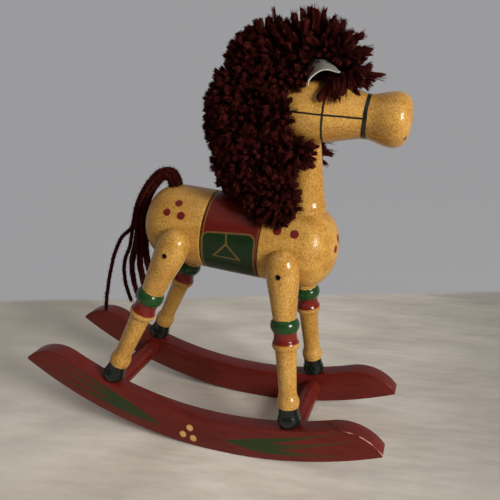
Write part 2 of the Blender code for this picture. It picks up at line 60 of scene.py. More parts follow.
def rocker_top(x):
    return ROCKER_WAIST + TOP_R - math.sqrt(TOP_R ** 2 - x ** 2)


ROCKER_TIP = Vector((ROCKER_HALF, ROCKER_R - math.sqrt(ROCKER_R ** 2 - ROCKER_HALF ** 2) + TIP_LIFT))
TOP_CENTRE = Vector((0.0, ROCKER_WAIST + TOP_R))


def nose_centre():
    """The corner's circle touches the top arc from below and passes through the tip."""
    reach = TOP_R + NOSE_R
    to_tip = ROCKER_TIP - TOP_CENTRE
    along = (reach ** 2 - NOSE_R ** 2 + to_tip.length ** 2) / (2 * to_tip.length)
    across = math.sqrt(reach ** 2 - along ** 2)
    unit = to_tip.normalized()
    return TOP_CENTRE + unit * along + Vector((unit.y, -unit.x)) * across


NOSE_CENTRE = nose_centre()


def rocker_outline(grow=0.0):
    """Bottom arc in flats, top arc, and the rounded corner that runs into a blunt tip at each end."""
    nose, tip = NOSE_CENTRE, ROCKER_TIP
    touch = TOP_CENTRE + (nose - TOP_CENTRE) * (TOP_R / (TOP_R + NOSE_R))
    first, last = (math.atan2(p.y - nose.y, p.x - nose.x) for p in (touch, tip))
    arc = [(touch.x * k / ARC_STEPS, rocker_top(touch.x * k / ARC_STEPS)) for k in range(ARC_STEPS)]
    turn = [first + (last - first) * k / NOSE_STEPS for k in range(NOSE_STEPS + 1)]
    front = arc[1:] + [(nose.x + NOSE_R * math.cos(a), nose.y + NOSE_R * math.sin(a)) for a in turn]
    top = [(-x, z) for x, z in reversed(front)] + arc[:1] + front
    end = math.asin(ROCKER_HALF / ROCKER_R)
    flats = math.floor(end / FACET)
    turns = [end] + [k * FACET for k in range(flats, -flats - 1, -1)] + [-end]
    bottom = [(ROCKER_R * math.sin(a), ROCKER_R * (1 - math.cos(a))) for a in turns]
    return [(x, z + grow) for x, z in top] + bottom


def rest_placement():
    """Turns the level layout nose down, and sets the lowest flat on the floor, centred in X."""
    turn = Matrix.Rotation(REST_TILT, 4, "Y")
    turned = [turn @ Vector((x, 0.0, z)) * MM for x, z in rocker_outline()]
    middle = (min(p.x for p in turned) + max(p.x for p in turned)) / 2
    return Matrix.Translation((-middle, 0.0, -min(p.z for p in turned))) @ turn


REST = rest_placement()             # all pieces are laid out level, in mm, and placed by this


def make_camera():
    """The photograph's viewpoint in the level layout: its place, its heading, and its lean to one side."""
    place = Vector((120.3, -333.5, 252.4)) * MM
    yaw, pitch, roll = (math.radians(a) for a in (16.99, 20.26, 5.04))
    forward = Vector((-math.sin(yaw) * math.cos(pitch), math.cos(yaw) * math.cos(pitch), -math.sin(pitch)))
    level = Vector((math.cos(yaw), math.sin(yaw), 0.0))
    upright = level.cross(forward)
    right = level * math.cos(roll) + upright * math.sin(roll)
    up = upright * math.cos(roll) - level * math.sin(roll)
    data = bpy.data.cameras.new("camera")
    data.lens = 42.84
    data.sensor_width = 36.0
    data.clip_start = 0.01
    camera = linked("camera", data)
    turn = Matrix((right, up, -forward)).transposed().to_4x4()
    camera.matrix_world = REST @ Matrix.Translation(place) @ turn
    SCENE.camera = camera


make_camera()


# ================================================================ shader maths
class Num:
    """A number that a material works out at each point of a surface."""

    def __init__(self, tree, socket):
        self.tree, self.socket = tree, socket

    def math(self, operation, *others):
        node = self.tree.nodes.new("ShaderNodeMath")
        node.operation = operation
        for place, value in zip(node.inputs, (self, *others)):
            plug(self.tree, place, value)
        return Num(self.tree, node.outputs[0])

    def __add__(self, other):
        return self.math("ADD", other)

    def __sub__(self, other):
        return self.math("SUBTRACT", other)

    def __mul__(self, other):
        return self.math("MULTIPLY", other)

    def __truediv__(self, other):
        return self.math("DIVIDE", other)

    def __pow__(self, other):
        return self.math("POWER", other)

    def __abs__(self):
        return self.math("ABSOLUTE")

    def lowest(self, other):
        return self.math("MINIMUM", other)

    def highest(self, other):
        return self.math("MAXIMUM", other)

    def root(self):
        return self.math("SQRT")

    def ramp(self, low, high, start=0.0, end=1.0):
        """start below low, end above high, and smooth between."""
        node = self.tree.nodes.new("ShaderNodeMapRange")
        node.interpolation_type = "SMOOTHSTEP"
        ends = {"Value": self, "From Min": low, "From Max": high, "To Min": start, "To Max": end}
        for name, value in ends.items():
            plug(self.tree, node.inputs[name], value)
        return Num(self.tree, node.outputs[0])

    def below(self, limit, soft=0.15):
        """1 below the limit and 0 above it."""
        return self.ramp(limit - soft, limit + soft, 1.0, 0.0)


def plug(tree, place, value):
    """Give an input socket a plain value, or a link from a worked-out number."""
    if isinstance(value, Num):
        tree.links.new(value.socket, place)
    else:
        place.default_value = value


class Look:
    """A node material that is built up from millimetre coordinates in the level layout."""

    def __init__(self, name, roughness=0.5, coat=0.0, metallic=0.0):
        self.material = bpy.data.materials.new(name)
        self.material.use_nodes = True
        self.tree = self.material.node_tree
        self.shader = self.tree.nodes["Principled BSDF"]
        self.shader.inputs["Roughness"].default_value = roughness
        self.shader.inputs["Metallic"].default_value = metallic
        self.shader.inputs["Coat Weight"].default_value = coat
        self.shader.inputs["Coat Roughness"].default_value = 0.10
        self.shader.inputs["Specular IOR Level"].default_value = 0.12
        undo = REST.inverted()      # pieces are in the row frame; this brings them back to the level layout
        level = self.tree.nodes.new("ShaderNodeMapping")
        level.inputs["Location"].default_value = undo.to_translation()
        level.inputs["Rotation"].default_value = undo.to_euler()
        coordinates = self.tree.nodes.new("ShaderNodeTexCoord")
        self.tree.links.new(coordinates.outputs["Object"], level.inputs["Vector"])
        self.place = level.outputs[0]
        apart = self.tree.nodes.new("ShaderNodeSeparateXYZ")
        self.tree.links.new(self.place, apart.inputs[0])
        self.x, self.y, self.z = (Num(self.tree, out) * 1000.0 for out in apart.outputs)

    def noise(self, size, stretch=(1, 1, 1), detail=4.0, roughness=0.6):
        """Noise from about 0 to 1, with blobs about size mm across and stretched along the axes."""
        mapping = self.tree.nodes.new("ShaderNodeMapping")
        mapping.inputs["Scale"].default_value = [1000.0 / (size * s) for s in stretch]
        self.tree.links.new(self.place, mapping.inputs["Vector"])
        node = self.tree.nodes.new("ShaderNodeTexNoise")
        node.inputs["Scale"].default_value = 1.0
        node.inputs["Detail"].default_value = detail
        node.inputs["Roughness"].default_value = roughness
        self.tree.links.new(mapping.outputs[0], node.inputs["Vector"])
        return Num(self.tree, node.outputs["Fac"])

    def attribute(self, name):
        node = self.tree.nodes.new("ShaderNodeAttribute")
        node.attribute_name = name
        return Num(self.tree, node.outputs["Fac"])

    def mix(self, first, second, share):
        """Between two colours, each a triple or an earlier mix."""
        node = self.tree.nodes.new("ShaderNodeMix")
        node.data_type = "RGBA"
        plug(self.tree, node.inputs["Factor"], share)
        for place, colour in ((node.inputs[6], first), (node.inputs[7], second)):   # A and B, as colours
            if isinstance(colour, tuple):
                place.default_value = (*colour, 1.0)
            else:
                self.tree.links.new(colour, place)
        return node.outputs[2]

    def finish(self, colour, height=None, depth=0.05, roughness=None):
        """Plug in the colour, and a bump of this many mm."""
        self.tree.links.new(colour, self.shader.inputs["Base Color"])
        if height is not None:
            bump = self.tree.nodes.new("ShaderNodeBump")
            bump.inputs["Distance"].default_value = depth * MM
            self.tree.links.new(height.socket, bump.inputs["Height"])
            self.tree.links.new(bump.outputs[0], self.shader.inputs["Normal"])
        if roughness is not None:
            self.tree.links.new(roughness.socket, self.shader.inputs["Roughness"])
        return self.material


def dot(across, along, radius):
    """Distance outside a painted dot, from two offsets."""
    return (across * across + along * along).root() - radius


def stroke(u, v, start, end):
    """Distance from the straight line between two points in the (u, v) plane."""
    du, dv = end[0] - start[0], end[1] - start[1]
    share = ((u - start[0]) * du + (v - start[1]) * dv) / (du * du + dv * dv)
    share = share.highest(0.0).lowest(1.0)
    return dot(u - start[0] - share * du, v - start[1] - share * dv, 0.0)


# ================================================================ colours (linear)
WOOD_LIGHT, WOOD_MID, WOOD_DARK = (0.66, 0.375, 0.088), (0.37, 0.165, 0.024), (0.16, 0.056, 0.008)
RED, RED_DARK = (0.115, 0.0085, 0.0055), (0.070, 0.005, 0.0035)
GREEN, GREEN_DARK = (0.0075, 0.024, 0.0055), (0.004, 0.013, 0.003)
RING_GREEN, HOOF_BLACK = (0.011, 0.050, 0.010), (0.006, 0.010, 0.008)
RING_RED, DOT_RED = (0.155, 0.0105, 0.0075), (0.135, 0.0095, 0.0095)
GOLD_DIM = (0.13, 0.085, 0.026)
BRIDLE_BLACK = (0.010, 0.011, 0.007)


def wood(look, grain=(1, 1, 1)):
    """Honey varnish over mottled wood, with short darker flecks along the grain."""
    cloud = look.noise(11.0, grain, 3.0, 0.5).ramp(0.36, 0.66)
    mottle = look.noise(1.2, (1, 1, 1), 4.0, 0.8).ramp(0.38, 0.62)
    fleck = look.noise(0.58, (1, 1, 1), 2.0, 0.6).ramp(0.46, 0.64)
    colour = look.mix(WOOD_LIGHT, WOOD_MID, cloud * 0.40 + mottle * 0.60)
    return look.mix(colour, WOOD_DARK, fleck * 0.34 + mottle * fleck * 0.25)


def edge_noise(look, size=1.3, depth=0.5):
    """A small wobble for the edges of hand-painted shapes."""
    return (look.noise(size, detail=2.0) - 0.5) * depth


def paint(look, colour, shapes):
    """Lay painted shapes over a colour: (distance outside, softness, colour) each."""
    for outside, soft, pigment in shapes:
        colour = look.mix(colour, pigment, outside.ramp(-soft, soft, 1.0, 0.0))
    return colour


# ================================================================ meshes
def add_piece(name, mesh, looks, replaced=()):
    """A mesh in the level layout becomes a visible piece, at rest and in its materials."""
    piece = linked(name, mesh)
    for look in looks if isinstance(looks, (list, tuple)) else [looks]:
        mesh.materials.append(look)
    mesh.transform(REST)
    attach(piece, "root")
    if replaced:
        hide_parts(*replaced)
    return piece


SHARP_ANGLE = 38                    # degrees; edges that are sharper stay sharp in the shading


def mesh_from(name, points, faces, smooth=True, angle=SHARP_ANGLE):
    mesh = bpy.data.meshes.new(name)
    mesh.from_pydata([tuple(p) for p in points], [], [tuple(f) for f in faces])
    build = bmesh.new()
    build.from_mesh(mesh)
    bmesh.ops.recalc_face_normals(build, faces=build.faces)
    build.to_mesh(mesh)
    build.free()
    if smooth:
        mesh.shade_smooth()
        mesh.set_sharp_from_angle(angle=math.radians(angle))
    return mesh


def refine(profile, steps=3):
    """More points along a turned profile, on a smooth curve through the given ones."""
    points = [Vector((*p, 0.0)) for p in profile]
    return [(p.x, max(p.y, 0.05)) for p in smooth_route(points, steps)]


def smooth_route(points, steps):
    """Points along a Catmull-Rom curve through the given ones."""
    points = [Vector(p) for p in points]
    padded = [2 * points[0] - points[1]] + points + [2 * points[-1] - points[-2]]
    route = []
    for before, start, end, after in zip(padded, padded[1:], padded[2:], padded[3:]):
        for k in range(steps):
            t = k / steps
            squared = (2 * before - 5 * start + 4 * end - after) * t ** 2
            cubed = (3 * start - before - 3 * end + after) * t ** 3
            route.append(0.5 * (2 * start + (end - before) * t + squared + cubed))
    return route + [points[-1]]


def tube_faces(rings, sides):
    """Faces of a closed tube whose points run ring by ring."""
    faces = []
    for r in range(rings - 1):
        for k in range(sides):
            after = (k + 1) % sides
            faces.append((r * sides + k, r * sides + after, (r + 1) * sides + after, (r + 1) * sides + k))
    faces.append(tuple(reversed(range(sides))))
    faces.append(tuple(range((rings - 1) * sides, rings * sides)))
    return faces


def lathe(name, profile, origin, direction, sides=64, grow=0.0):
    """A turned mesh; profile in mm along the direction, origin in mm."""
    axis = Vector(direction).normalized()
    turn = Vector((0, 0, 1)).rotation_difference(axis).to_matrix()
    origin = Vector(origin)
    points = []
    for height, radius in profile:
        for k in range(sides):
            a = 2 * math.pi * k / sides
            ring = Vector(((radius + grow) * math.cos(a), (radius + grow) * math.sin(a), height))
            points.append((origin + turn @ ring) * MM)
    return mesh_from(name, points, tube_faces(len(profile), sides))


def slab(name, outline, low_y, high_y):
    """An XZ outline in mm, extruded along Y."""
    count = len(outline)
    points = [Vector((x, y, z)) * MM for y in (low_y, high_y) for x, z in outline]
    faces = [tuple(range(count)), tuple(reversed(range(count, 2 * count)))]
    faces += [((k + 1) % count, k, count + k, count + (k + 1) % count) for k in range(count)]
    return mesh_from(name, points, faces, smooth=False)


def applied(piece):
    """The piece's mesh with its modifiers applied; the piece itself goes."""
    bpy.context.view_layer.update()
    done = bpy.data.meshes.new_from_object(piece.evaluated_get(bpy.context.evaluated_depsgraph_get()))
    bpy.data.objects.remove(piece, do_unlink=True)
    return done


def shaped(mesh, cutters=(), bevel=None):
    """The mesh after boolean cuts and a bevel."""
    piece = linked("work", mesh)
    helpers = [linked("helper", cutter) for cutter in cutters]
    for helper in helpers:
        cut = piece.modifiers.new("cut", "BOOLEAN")
        cut.operation, cut.solver, cut.object = "DIFFERENCE", "EXACT", helper
    if bevel:
        edge = piece.modifiers.new("edge", "BEVEL")
        edge.width, edge.segments, edge.limit_method = bevel * MM, 3, "ANGLE"
        edge.angle_limit = math.radians(40)
    done = applied(piece)
    for helper in helpers:
        bpy.data.objects.remove(helper, do_unlink=True)
    done.shade_smooth()
    done.set_sharp_from_angle(angle=math.radians(SHARP_ANGLE))
    return done


# ================================================================ dimensions, in mm
BODY_Z, BODY_R = 133.2, 24.5
RUMP_END, RUMP_START, RUMP_POWER = -49.4, -25.4, 2.65
CHEST_START, CHEST_END, CHEST_POWER = 55.5, 73.0, 2.0
SADDLE_REAR, SADDLE_FRONT = -6.0, 29.6
HEAD_Z, HEAD_R = 213.4, 18.8
HEAD_PROFILE = [
    (27.0, 4.0), (28.2, 8.5), (31.0, 13.2), (35.0, 16.6), (40.0, 18.3), (46.0, 18.8),
    (52.0, 18.2), (57.0, 17.2), (64.0, 15.4), (71.0, 13.6), (76.0, 12.5), (79.0, 12.2),
    (83.0, 12.8), (87.0, 14.0), (91.0, 14.9), (95.0, 14.9), (98.5, 13.4), (100.8, 10.6),
    (102.0, 6.5), (102.4, 3.0),
]
LEG_PROFILE = [
    (0.0, 5.4), (0.3, 5.8), (1.6, 6.6), (3.7, 7.15), (6.0, 6.8), (8.0, 6.25), (11.5, 6.2),
    (13.5, 6.6), (15.8, 6.85), (18.2, 6.4), (20.0, 5.7), (24.0, 5.5), (36.0, 5.9), (48.0, 6.5),
    (49.6, 7.5), (51.6, 8.2), (53.8, 7.8), (55.2, 7.1), (57.6, 6.9), (59.8, 7.1), (61.4, 8.1),
    (64.0, 8.75), (66.6, 8.1), (68.2, 7.05), (73.0, 7.6), (80.0, 8.3), (88.0, 9.3), (95.0, 9.85),
    (100.5, 9.6), (105.0, 8.1), (108.0, 5.2), (109.3, 2.2),
]
HOOF_Y = 33.5
# where the foot stands, lean along X and inward for each unit of height, stretch
LEGS = {"front": (63.2, -0.179, 0.102, 1.0), "rear": (-59.2, 0.384, 0.070, 1.065)}
ROCKER_INNER, ROCKER_OUTER = 28.8, 40.5
CROSSBARS = {"front": 64.0, "rear": -61.5}
CROSSBAR_Z, CROSSBAR_R = 18.8, 6.3
BRAD_Z, BRAD_HEAD_Y, BRAD_HOLE_DEPTH, BRAD_HOLE_R = 123.5, 30.6, 1.3, 1.25
NECK_LEAN = math.radians(-7.5)
NECK_UP = Vector((math.sin(NECK_LEAN), 0.0, math.cos(NECK_LEAN)))
NECK_BASE = Vector((51.0, 0.0, BODY_Z + BODY_R))


# ================================================================ tail cords
YARN_R, YARN_PITCH = 1.15, 2.65
ROW_PITCH = 0.87 * YARN_PITCH
TAIL_TIGHT_POINTS, TAIL_LOOSENING = 5, 0.15
TAIL_ROUTE = [                      # the middle of the bundle, X and Z
    (-34.5, 152.6), (-34.3, 158.5), (-37.5, 163.4), (-42.5, 163.2), (-47.5, 158.8), (-53.0, 150.5),
    (-57.0, 140.0), (-58.5, 129.0),
]
TAIL_STRANDS = [                    # place in the bundle (row, across), then points it hangs through
    ((1.0, 0.0), [
        (-66.0, 0.0, 121.5), (-72.6, 0.0, 114.0), (-78.0, 0.0, 100.0), (-81.2, 0.0, 85.0),
        (-83.4, 0.0, 70.0), (-84.2, 0.0, 57.0),
    ]),
    ((1.0, -1.0), [(-63.5, -3.6, 113.0), (-67.3, -4.4, 99.0), (-66.0, -5.0, 85.0), (-60.7, -5.6, 72.0)]),
    ((1.0, 1.0), [(-64.0, 3.8, 113.0), (-67.5, 5.0, 98.0), (-66.5, 5.4, 84.0), (-62.0, 5.6, 71.0)]),
    ((0.0, -1.5), [(-57.8, -6.0, 113.0), (-59.4, -7.6, 99.0), (-57.2, -8.4, 86.0), (-53.0, -9.0, 76.0)]),
    ((0.0, -0.5), [(-60.6, -1.6, 112.0), (-62.4, -2.0, 98.0), (-60.2, -2.0, 84.0), (-56.0, -2.0, 71.0)]),
    ((0.0, 0.5), [(-59.6, 2.0, 112.0), (-60.4, 2.6, 98.0), (-57.4, 2.8, 84.0), (-52.5, 2.8, 73.0)]),
    ((0.0, 1.5), [(-57.8, 6.2, 112.0), (-57.4, 8.2, 98.0), (-54.0, 9.2, 85.0)]),
    ((-1.0, -1.0), [(-55.0, -3.6, 113.0), (-54.2, -5.0, 100.0), (-50.0, -5.6, 88.0)]),
    ((-1.0, 0.0), [(-55.4, 0.4, 112.0), (-53.6, 0.4, 100.0), (-49.5, 0.4, 89.0)]),
    ((-1.0, 1.0), [(-55.2, 4.0, 112.0), (-54.2, 5.2, 100.0), (-50.6, 5.8, 90.0)]),
]


def strand_route(place, hanging):
    """The strand's centreline, the same as the CAD's, in mm."""
    lead = []
    for k, (x, z) in enumerate(TAIL_ROUTE):
        before, after = TAIL_ROUTE[max(k - 1, 0)], TAIL_ROUTE[min(k + 1, len(TAIL_ROUTE) - 1)]
        heading = Vector((after[0] - before[0], after[1] - before[1])).normalized()
        loosening = 1.0 + TAIL_LOOSENING * max(0, k - TAIL_TIGHT_POINTS)
        lift = place[0] * ROW_PITCH * loosening
        lead.append((x + heading.y * lift, place[1] * YARN_PITCH * loosening, z - heading.x * lift))
    return smooth_route(lead + hanging, steps=8)


def yarn_look():
    """Burgundy yarn with painted light: painted shade near black in the folds, and a redder painted
    highlight where the cut ends catch the light.
    """
    look = Look("yarn", roughness=0.95)
    look.shader.inputs["Specular IOR Level"].default_value = 0.03
    tip = look.attribute("tip")
    fibre = look.noise(0.45, detail=3.0).ramp(0.35, 0.65)
    clump = look.noise(6.0, detail=2.0).ramp(0.32, 0.68)
    # painted shade and highlight: darker in the folds, lighter towards the tips, by the tip value
    colour = look.mix((0.006, 0.0008, 0.0008), (0.060, 0.0070, 0.0054), tip * 0.7 + tip * clump * 0.3)
    # painted highlight: pale red fibres where the tip value is high
    colour = look.mix(colour, (0.165, 0.036, 0.027), fibre * tip * (clump * 0.5 + 0.2))
    return look.finish(colour, fibre, 0.12)


YARN = yarn_look()


def set_painted_light(mesh, values):
    """Painted light for the yarn at each point: 0 for painted shade in the folds, 1 for a painted highlight
    at the tips.
    """
    # the attribute named tip carries this painted light into the yarn material
    tip = mesh.attributes.new("tip", "FLOAT", "POINT")
    tip.data.foreach_set("value", np.asarray(values, dtype=np.float32))


def side_ways(ways, rng):
    """A unit vector at right angles to each way, turned at random."""
    side = np.cross(ways, rng.normal(size=ways.shape))
    return side / np.linalg.norm(side, axis=1, keepdims=True)


def fibre_block(starts, ends, widths, rng, root_light=0.45, blunt=0.55):
    """Closed three-sided fibres from start to end, a little thinner at the end."""
    ways = ends - starts
    side = side_ways(ways, rng)
    across = np.cross(ways, side)
    across /= np.linalg.norm(across, axis=1, keepdims=True)
    corners = []
    for middle, share in ((starts, 1.0), (ends, blunt)):
        for a in (0.0, 2 * math.pi / 3, 4 * math.pi / 3):
            corners.append(middle + (side * math.cos(a) + across * math.sin(a)) * (widths * share)[:, None])
    points = np.stack(corners, axis=1).reshape(-1, 3)
    # painted shade at the root of each fibre, full painted highlight at its end
    shade = np.tile([root_light] * 3 + [1.0] * 3, len(starts))
    return points, repeated_faces(len(starts), rings=2, sides=3), shade


def repeated_faces(count, rings, sides):
    """Faces of many closed tubes whose points follow each other."""
    base = np.arange(count)[:, None] * (rings * sides)
    faces = []
    for face in tube_faces(rings, sides):
        faces += (base + np.array(face)).tolist()
    return faces


def join_blocks(name, blocks):
    """One mesh from blocks of points in mm, faces and tip values."""
    points, faces, shade, start = [], [], [], 0
    for p, f, s in blocks:
        points.append(p)
        faces += [tuple(i + start for i in face) for face in f]
        shade.append(s)
        start += len(p)
    mesh = bpy.data.meshes.new(name)
    mesh.from_pydata((np.concatenate(points) * MM).tolist(), [], faces)
    set_painted_light(mesh, np.concatenate(shade))
    return mesh


def twisted_strand(name, route, node):
    """A spun yarn: three plies that wind round the centreline."""
    plies, sides, pitch = 3, 12, 6.5
    normal, along = Vector((0, 1, 0)), 0.0
    frames, points, shade = [], [], []
    for k, centre in enumerate(route):
        tangent = (route[min(k + 1, len(route) - 1)] - route[max(k - 1, 0)]).normalized()
        normal = (normal - tangent * normal.dot(tangent)).normalized()
        along += (centre - route[k - 1]).length if k else 0.0
        frames.append((centre, normal.copy(), tangent.cross(normal), along))
    for centre, first, second, s in frames:
        end = min(1.0, (along - s) + 0.35, s + 0.5)
        for k in range(sides):
            a = 2 * math.pi * k / sides
            ply = abs(math.cos(plies * (a - 2 * math.pi * s / pitch) / 2))
            radius = YARN_R * (0.90 + 0.24 * ply) * end
            points.append((centre + (first * math.cos(a) + second * math.sin(a)) * radius) * MM)
            # painted light: a highlight on the crests of the plies, shade in the grooves between them
            shade.append(0.15 + 0.5 * ply)
    mesh = mesh_from(name, points, tube_faces(len(frames), sides), angle=80)
    set_painted_light(mesh, shade)
    piece = add_piece(name, mesh, YARN, [node])
    path = [tuple(REST @ (p * MM)) for p in route]
    along * MM
    return frames


def make_tail():
    """Ten strands, and the fuzz that stands off all of them."""
    rng = np.random.default_rng(11)
    roots, ways = [], []
    for index, (place, hanging) in enumerate(TAIL_STRANDS, start=1):
        route = strand_route(place, hanging)
        frames = twisted_strand(f"tail_yarn_{index}", route, f"tail_strand_{index}")
        for centre, first, second, _ in frames[6:]:
            for a in rng.uniform(0, 2 * math.pi, 14):
                out = first * math.cos(a) + second * math.sin(a)
                roots.append(centre + out * YARN_R * 0.9)
                ways.append(out * rng.uniform(0.3, 0.9) + first.cross(second) * rng.uniform(-1.0, 1.0))
    ways = np.array([w.normalized() for w in ways])
    roots = np.array([tuple(r) for r in roots])
    ends = roots + ways * rng.uniform(0.7, 2.0, (len(roots), 1))
    fuzz = fibre_block(roots, ends, rng.uniform(0.05, 0.09, len(roots)), rng)
    add_piece("tail_fuzz", join_blocks("tail_fuzz", [fuzz]), YARN)


make_tail()


# ================================================================ turned wood
# on both flanks: x, degrees up from the widest line, radius
BODY_DOTS = [
    (-23.7, 46.6, 2.4), (-29.4, 30.3, 2.4), (-20.0, 28.8, 2.6),
    (50.1, 32.0, 2.6), (39.8, 32.3, 2.6), (44.0, 50.5, 2.6),
]
CHEST_DOTS = [(-0.4, 142.0), (-6.0, 136.7), (5.4, 136.7)]


def body_profile():
    """Radius along the barrel: rump, two grooves beside the saddle, chest."""
    steps = 20
    rump, chest = [], []
    for k in range(1, steps + 1):
        share = math.cos(math.pi / 2 * k / steps)
        rump_r, chest_r = (BODY_R * (1 - share ** p) ** (1 / p) for p in (RUMP_POWER, CHEST_POWER))
        rump.append((RUMP_START - (RUMP_START - RUMP_END) * share, rump_r))
        chest.append((CHEST_START + (CHEST_END - CHEST_START) * share, chest_r))
    barrel = []
    for x in (SADDLE_REAR, SADDLE_FRONT):
        low = BODY_R - 0.75
        barrel += [(x - 0.9, BODY_R), (x - 0.25, low), (x + 0.25, low), (x + 0.9, BODY_R)]
    return rump + barrel + list(reversed(chest))


def varnished(look, colour, upright):
    """The colour under a rippled varnish; ripples run up a leg or the neck, and else along X."""
    if upright:
        grain, gloss = look.noise(1.3, (1, 1, 4.0), 3.0), look.noise(6.0).ramp(0.3, 0.7, 0.2, 0.34)
    else:
        grain, gloss = look.noise(1.4, (4.0, 1, 1), 3.0), look.noise(7.0).ramp(0.3, 0.7, 0.34, 0.46)
    return look.finish(colour, grain, 0.035, gloss)


def body_look():
    """Wood with a red saddle, a green flap and stirrup on each side, and groups of dots."""
    look = Look("body_varnish", roughness=0.42, coat=0.2)
    x, rise = look.x, look.z - BODY_Z
    angle = rise.math("ARCTAN2", abs(look.y)) * 180.0 / math.pi
    arc = angle * (math.pi / 180.0 * BODY_R)        # mm round the barrel, up from its widest line
    wobble = edge_noise(look)
    colour = wood(look, (3.0, 1, 1))

    inside = abs(x - (SADDLE_REAR + SADDLE_FRONT) / 2) - (SADDLE_FRONT - SADDLE_REAR) / 2
    seam = (x + 2.0) * 0.11 + 5.8                   # the flap's upper edge
    flap_x, flap_half, corner = 11.4, 16.6, 5.0
    over_x = abs(x - flap_x) - (flap_half - corner)
    over_a = arc - seam + corner
    round_corner = (over_x.highest(0.0) ** 2.0 + over_a.highest(0.0) ** 2.0).root()
    flap = round_corner + over_x.highest(over_a).lowest(0.0) - corner + wobble * 0.6
    worn = look.noise(2.6, (2.0, 1, 1), 5.0, 0.7).ramp(0.35, 0.8)
    seat = look.mix(RED, RED_DARK, worn * 0.5)
    cloth = look.mix(GREEN, GREEN_DARK, worn * 0.6)
    top, eye, heel, toe = (10.3, 6.8), (10.9, 0.6), (3.0, -8.5), (19.5, -8.5)
    stirrup = stroke(x, arc, top, eye)
    for end in (heel, toe):
        stirrup = stirrup.lowest(stroke(x, arc, eye, end))
    stirrup = stirrup.lowest(stroke(x, arc, heel, toe) + 0.1) + wobble * 0.5
    saddle = paint(look, seat, [
        (flap, 0.2, cloth), (abs(flap) - 0.55, 0.25, look.mix(GOLD_DIM, RED_DARK, worn * 0.4)),
        (stirrup - 0.55, 0.3, GOLD_DIM),
    ])
    colour = look.mix(colour, saddle, inside.below(0.2, 0.15))
    # painted shade: both grooves beside the saddle darkened to dark olive
    colour = look.mix(colour, (0.10, 0.065, 0.012), abs(inside).below(0.45, 0.3))
    band = abs(x - SADDLE_REAR - 1.7) - 0.3
    colour = look.mix(colour, (0.26, 0.14, 0.03), band.below(0.0, 0.25) * 0.7)
    marks = []
    for mark_x, degrees, radius in BODY_DOTS:
        away = dot(x - mark_x, arc - degrees * math.pi / 180 * BODY_R, radius)
        marks.append((away + wobble * 0.6, 0.18, DOT_RED))
    for mark_y, mark_z in CHEST_DOTS:
        away = dot(look.y - mark_y, look.z - mark_z, 2.3) + wobble * 0.6
        marks.append((away + (x - 65.0).ramp(-1.0, 0.0, 50.0, 0.0), 0.18, DOT_RED))
    return varnished(look, paint(look, colour, marks), upright=False)


def leg_look(end):
    """Wood with a black hoof, and a red cove and a green bead above the knee; a painted shadow round the
    brad.
    """
    foot_x, lean, inward, stretch = LEGS[end]
    look = Look(f"leg_{end}_varnish", roughness=0.42, coat=0.45)
    way = Vector((lean, -inward, 1.0)).normalized()
    foot = (look.x - foot_x) * way.x + (abs(look.y) - HOOF_Y) * way.y + (look.z - rocker_top(foot_x)) * way.z
    up = foot / stretch + edge_noise(look, 2.2, 0.7)
    colour = wood(look, (1, 1, 3.0))
    colour = look.mix(colour, HOOF_BLACK, up.below(12.3))
    colour = look.mix(colour, RING_RED, abs(up - 56.9).below(3.5))
    colour = look.mix(colour, RING_GREEN, abs(up - 64.2).below(3.9))
    shade = (abs(up - 53.2).below(0.25, 0.3) + abs(up - 49.0).below(0.3, 0.4) * 0.5).lowest(1.0)
    colour = look.mix(colour, (0.13, 0.03, 0.012), shade * 0.6)
    brad_x = foot_x + lean * (BRAD_Z - rocker_top(foot_x))
    # painted shadow: a dark brown disc round the brad, where its hole lies in shade
    brad = dot(look.x - brad_x, look.z - BRAD_Z, 1.7) + edge_noise(look, 1.5, 0.8)
    brad = brad + abs(look.y).ramp(20.0, 22.0, 20.0, 0.0)
    colour = paint(look, colour, [(brad, 0.3, (0.045, 0.025, 0.010))])
    return varnished(look, colour, upright=True)


def head_look():
    """Wood with a painted bridle: cheek strap, nose band, side straps, crown line; nostrils."""
    look = Look("head_varnish", roughness=0.42, coat=0.45)
    x, rise = look.x, look.z - HEAD_Z
    wobble = edge_noise(look, 2.5, 0.8)
    colour = wood(look, (2.6, 1, 1))
    lower = (rise * -1.0).ramp(-6.0, 12.0)
    cheek = abs(x - 56.7 + wobble * 0.8) - 0.62
    nose = abs(x - 78.5 + wobble * 0.6) - 1.1 - lower * 0.35
    strap = abs(rise + 0.1 + wobble * 0.7) - 0.55
    strap = strap.highest(abs(x - 59.6) - 19.0)
    crown = (abs(look.y + wobble * 0.5) - 0.95).highest(rise * -1.0).highest(abs(x - 66.0) - 12.0)
    nostril = dot((abs(look.y) - 7.0) * 0.75, rise + 8.0, 1.0) + x.ramp(96.0, 97.0, 40.0, 0.0)
    plugged = abs(dot(x - 53.7, rise - 3.1, 1.15)) - 0.22
    hook = dot(x - 55.4, look.y + 2.0, 1.5) + rise.ramp(-12.0, -9.0, 0.0, 40.0)
    side_only = abs(look.y).ramp(2.0, 3.0, 40.0, 0.0)
    shapes = [(plugged + side_only, 0.2, (0.30, 0.15, 0.04))]
    lines = [(cheek, 0.16), (strap, 0.16), (nose, 0.18), (crown, 0.15), (nostril, 0.25), (hook, 0.2)]
    shapes += [(away, soft, BRIDLE_BLACK) for away, soft in lines]
    return varnished(look, paint(look, colour, shapes), upright=False)


def neck_look():
    look = Look("neck_varnish", roughness=0.40, coat=0.45)
    return varnished(look, wood(look, (1, 1, 3.0)), upright=True)


def leg_axis(end, sign):
    """The middle of the sole, and the way up the leg."""
    x, lean, inward, _ = LEGS[end]
    return Vector((x, sign * HOOF_Y, rocker_top(x))), Vector((lean, -sign * inward, 1.0)).normalized()


def body_turning(grow=0.0):
    return lathe("body_barrel", body_profile(), (0, 0, BODY_Z), (1, 0, 0), 96, grow)


def head_turning(sides=80, grow=0.0):
    return lathe("head_turning", refine(HEAD_PROFILE), (0, 0, HEAD_Z), (1, 0, 0), sides, grow)


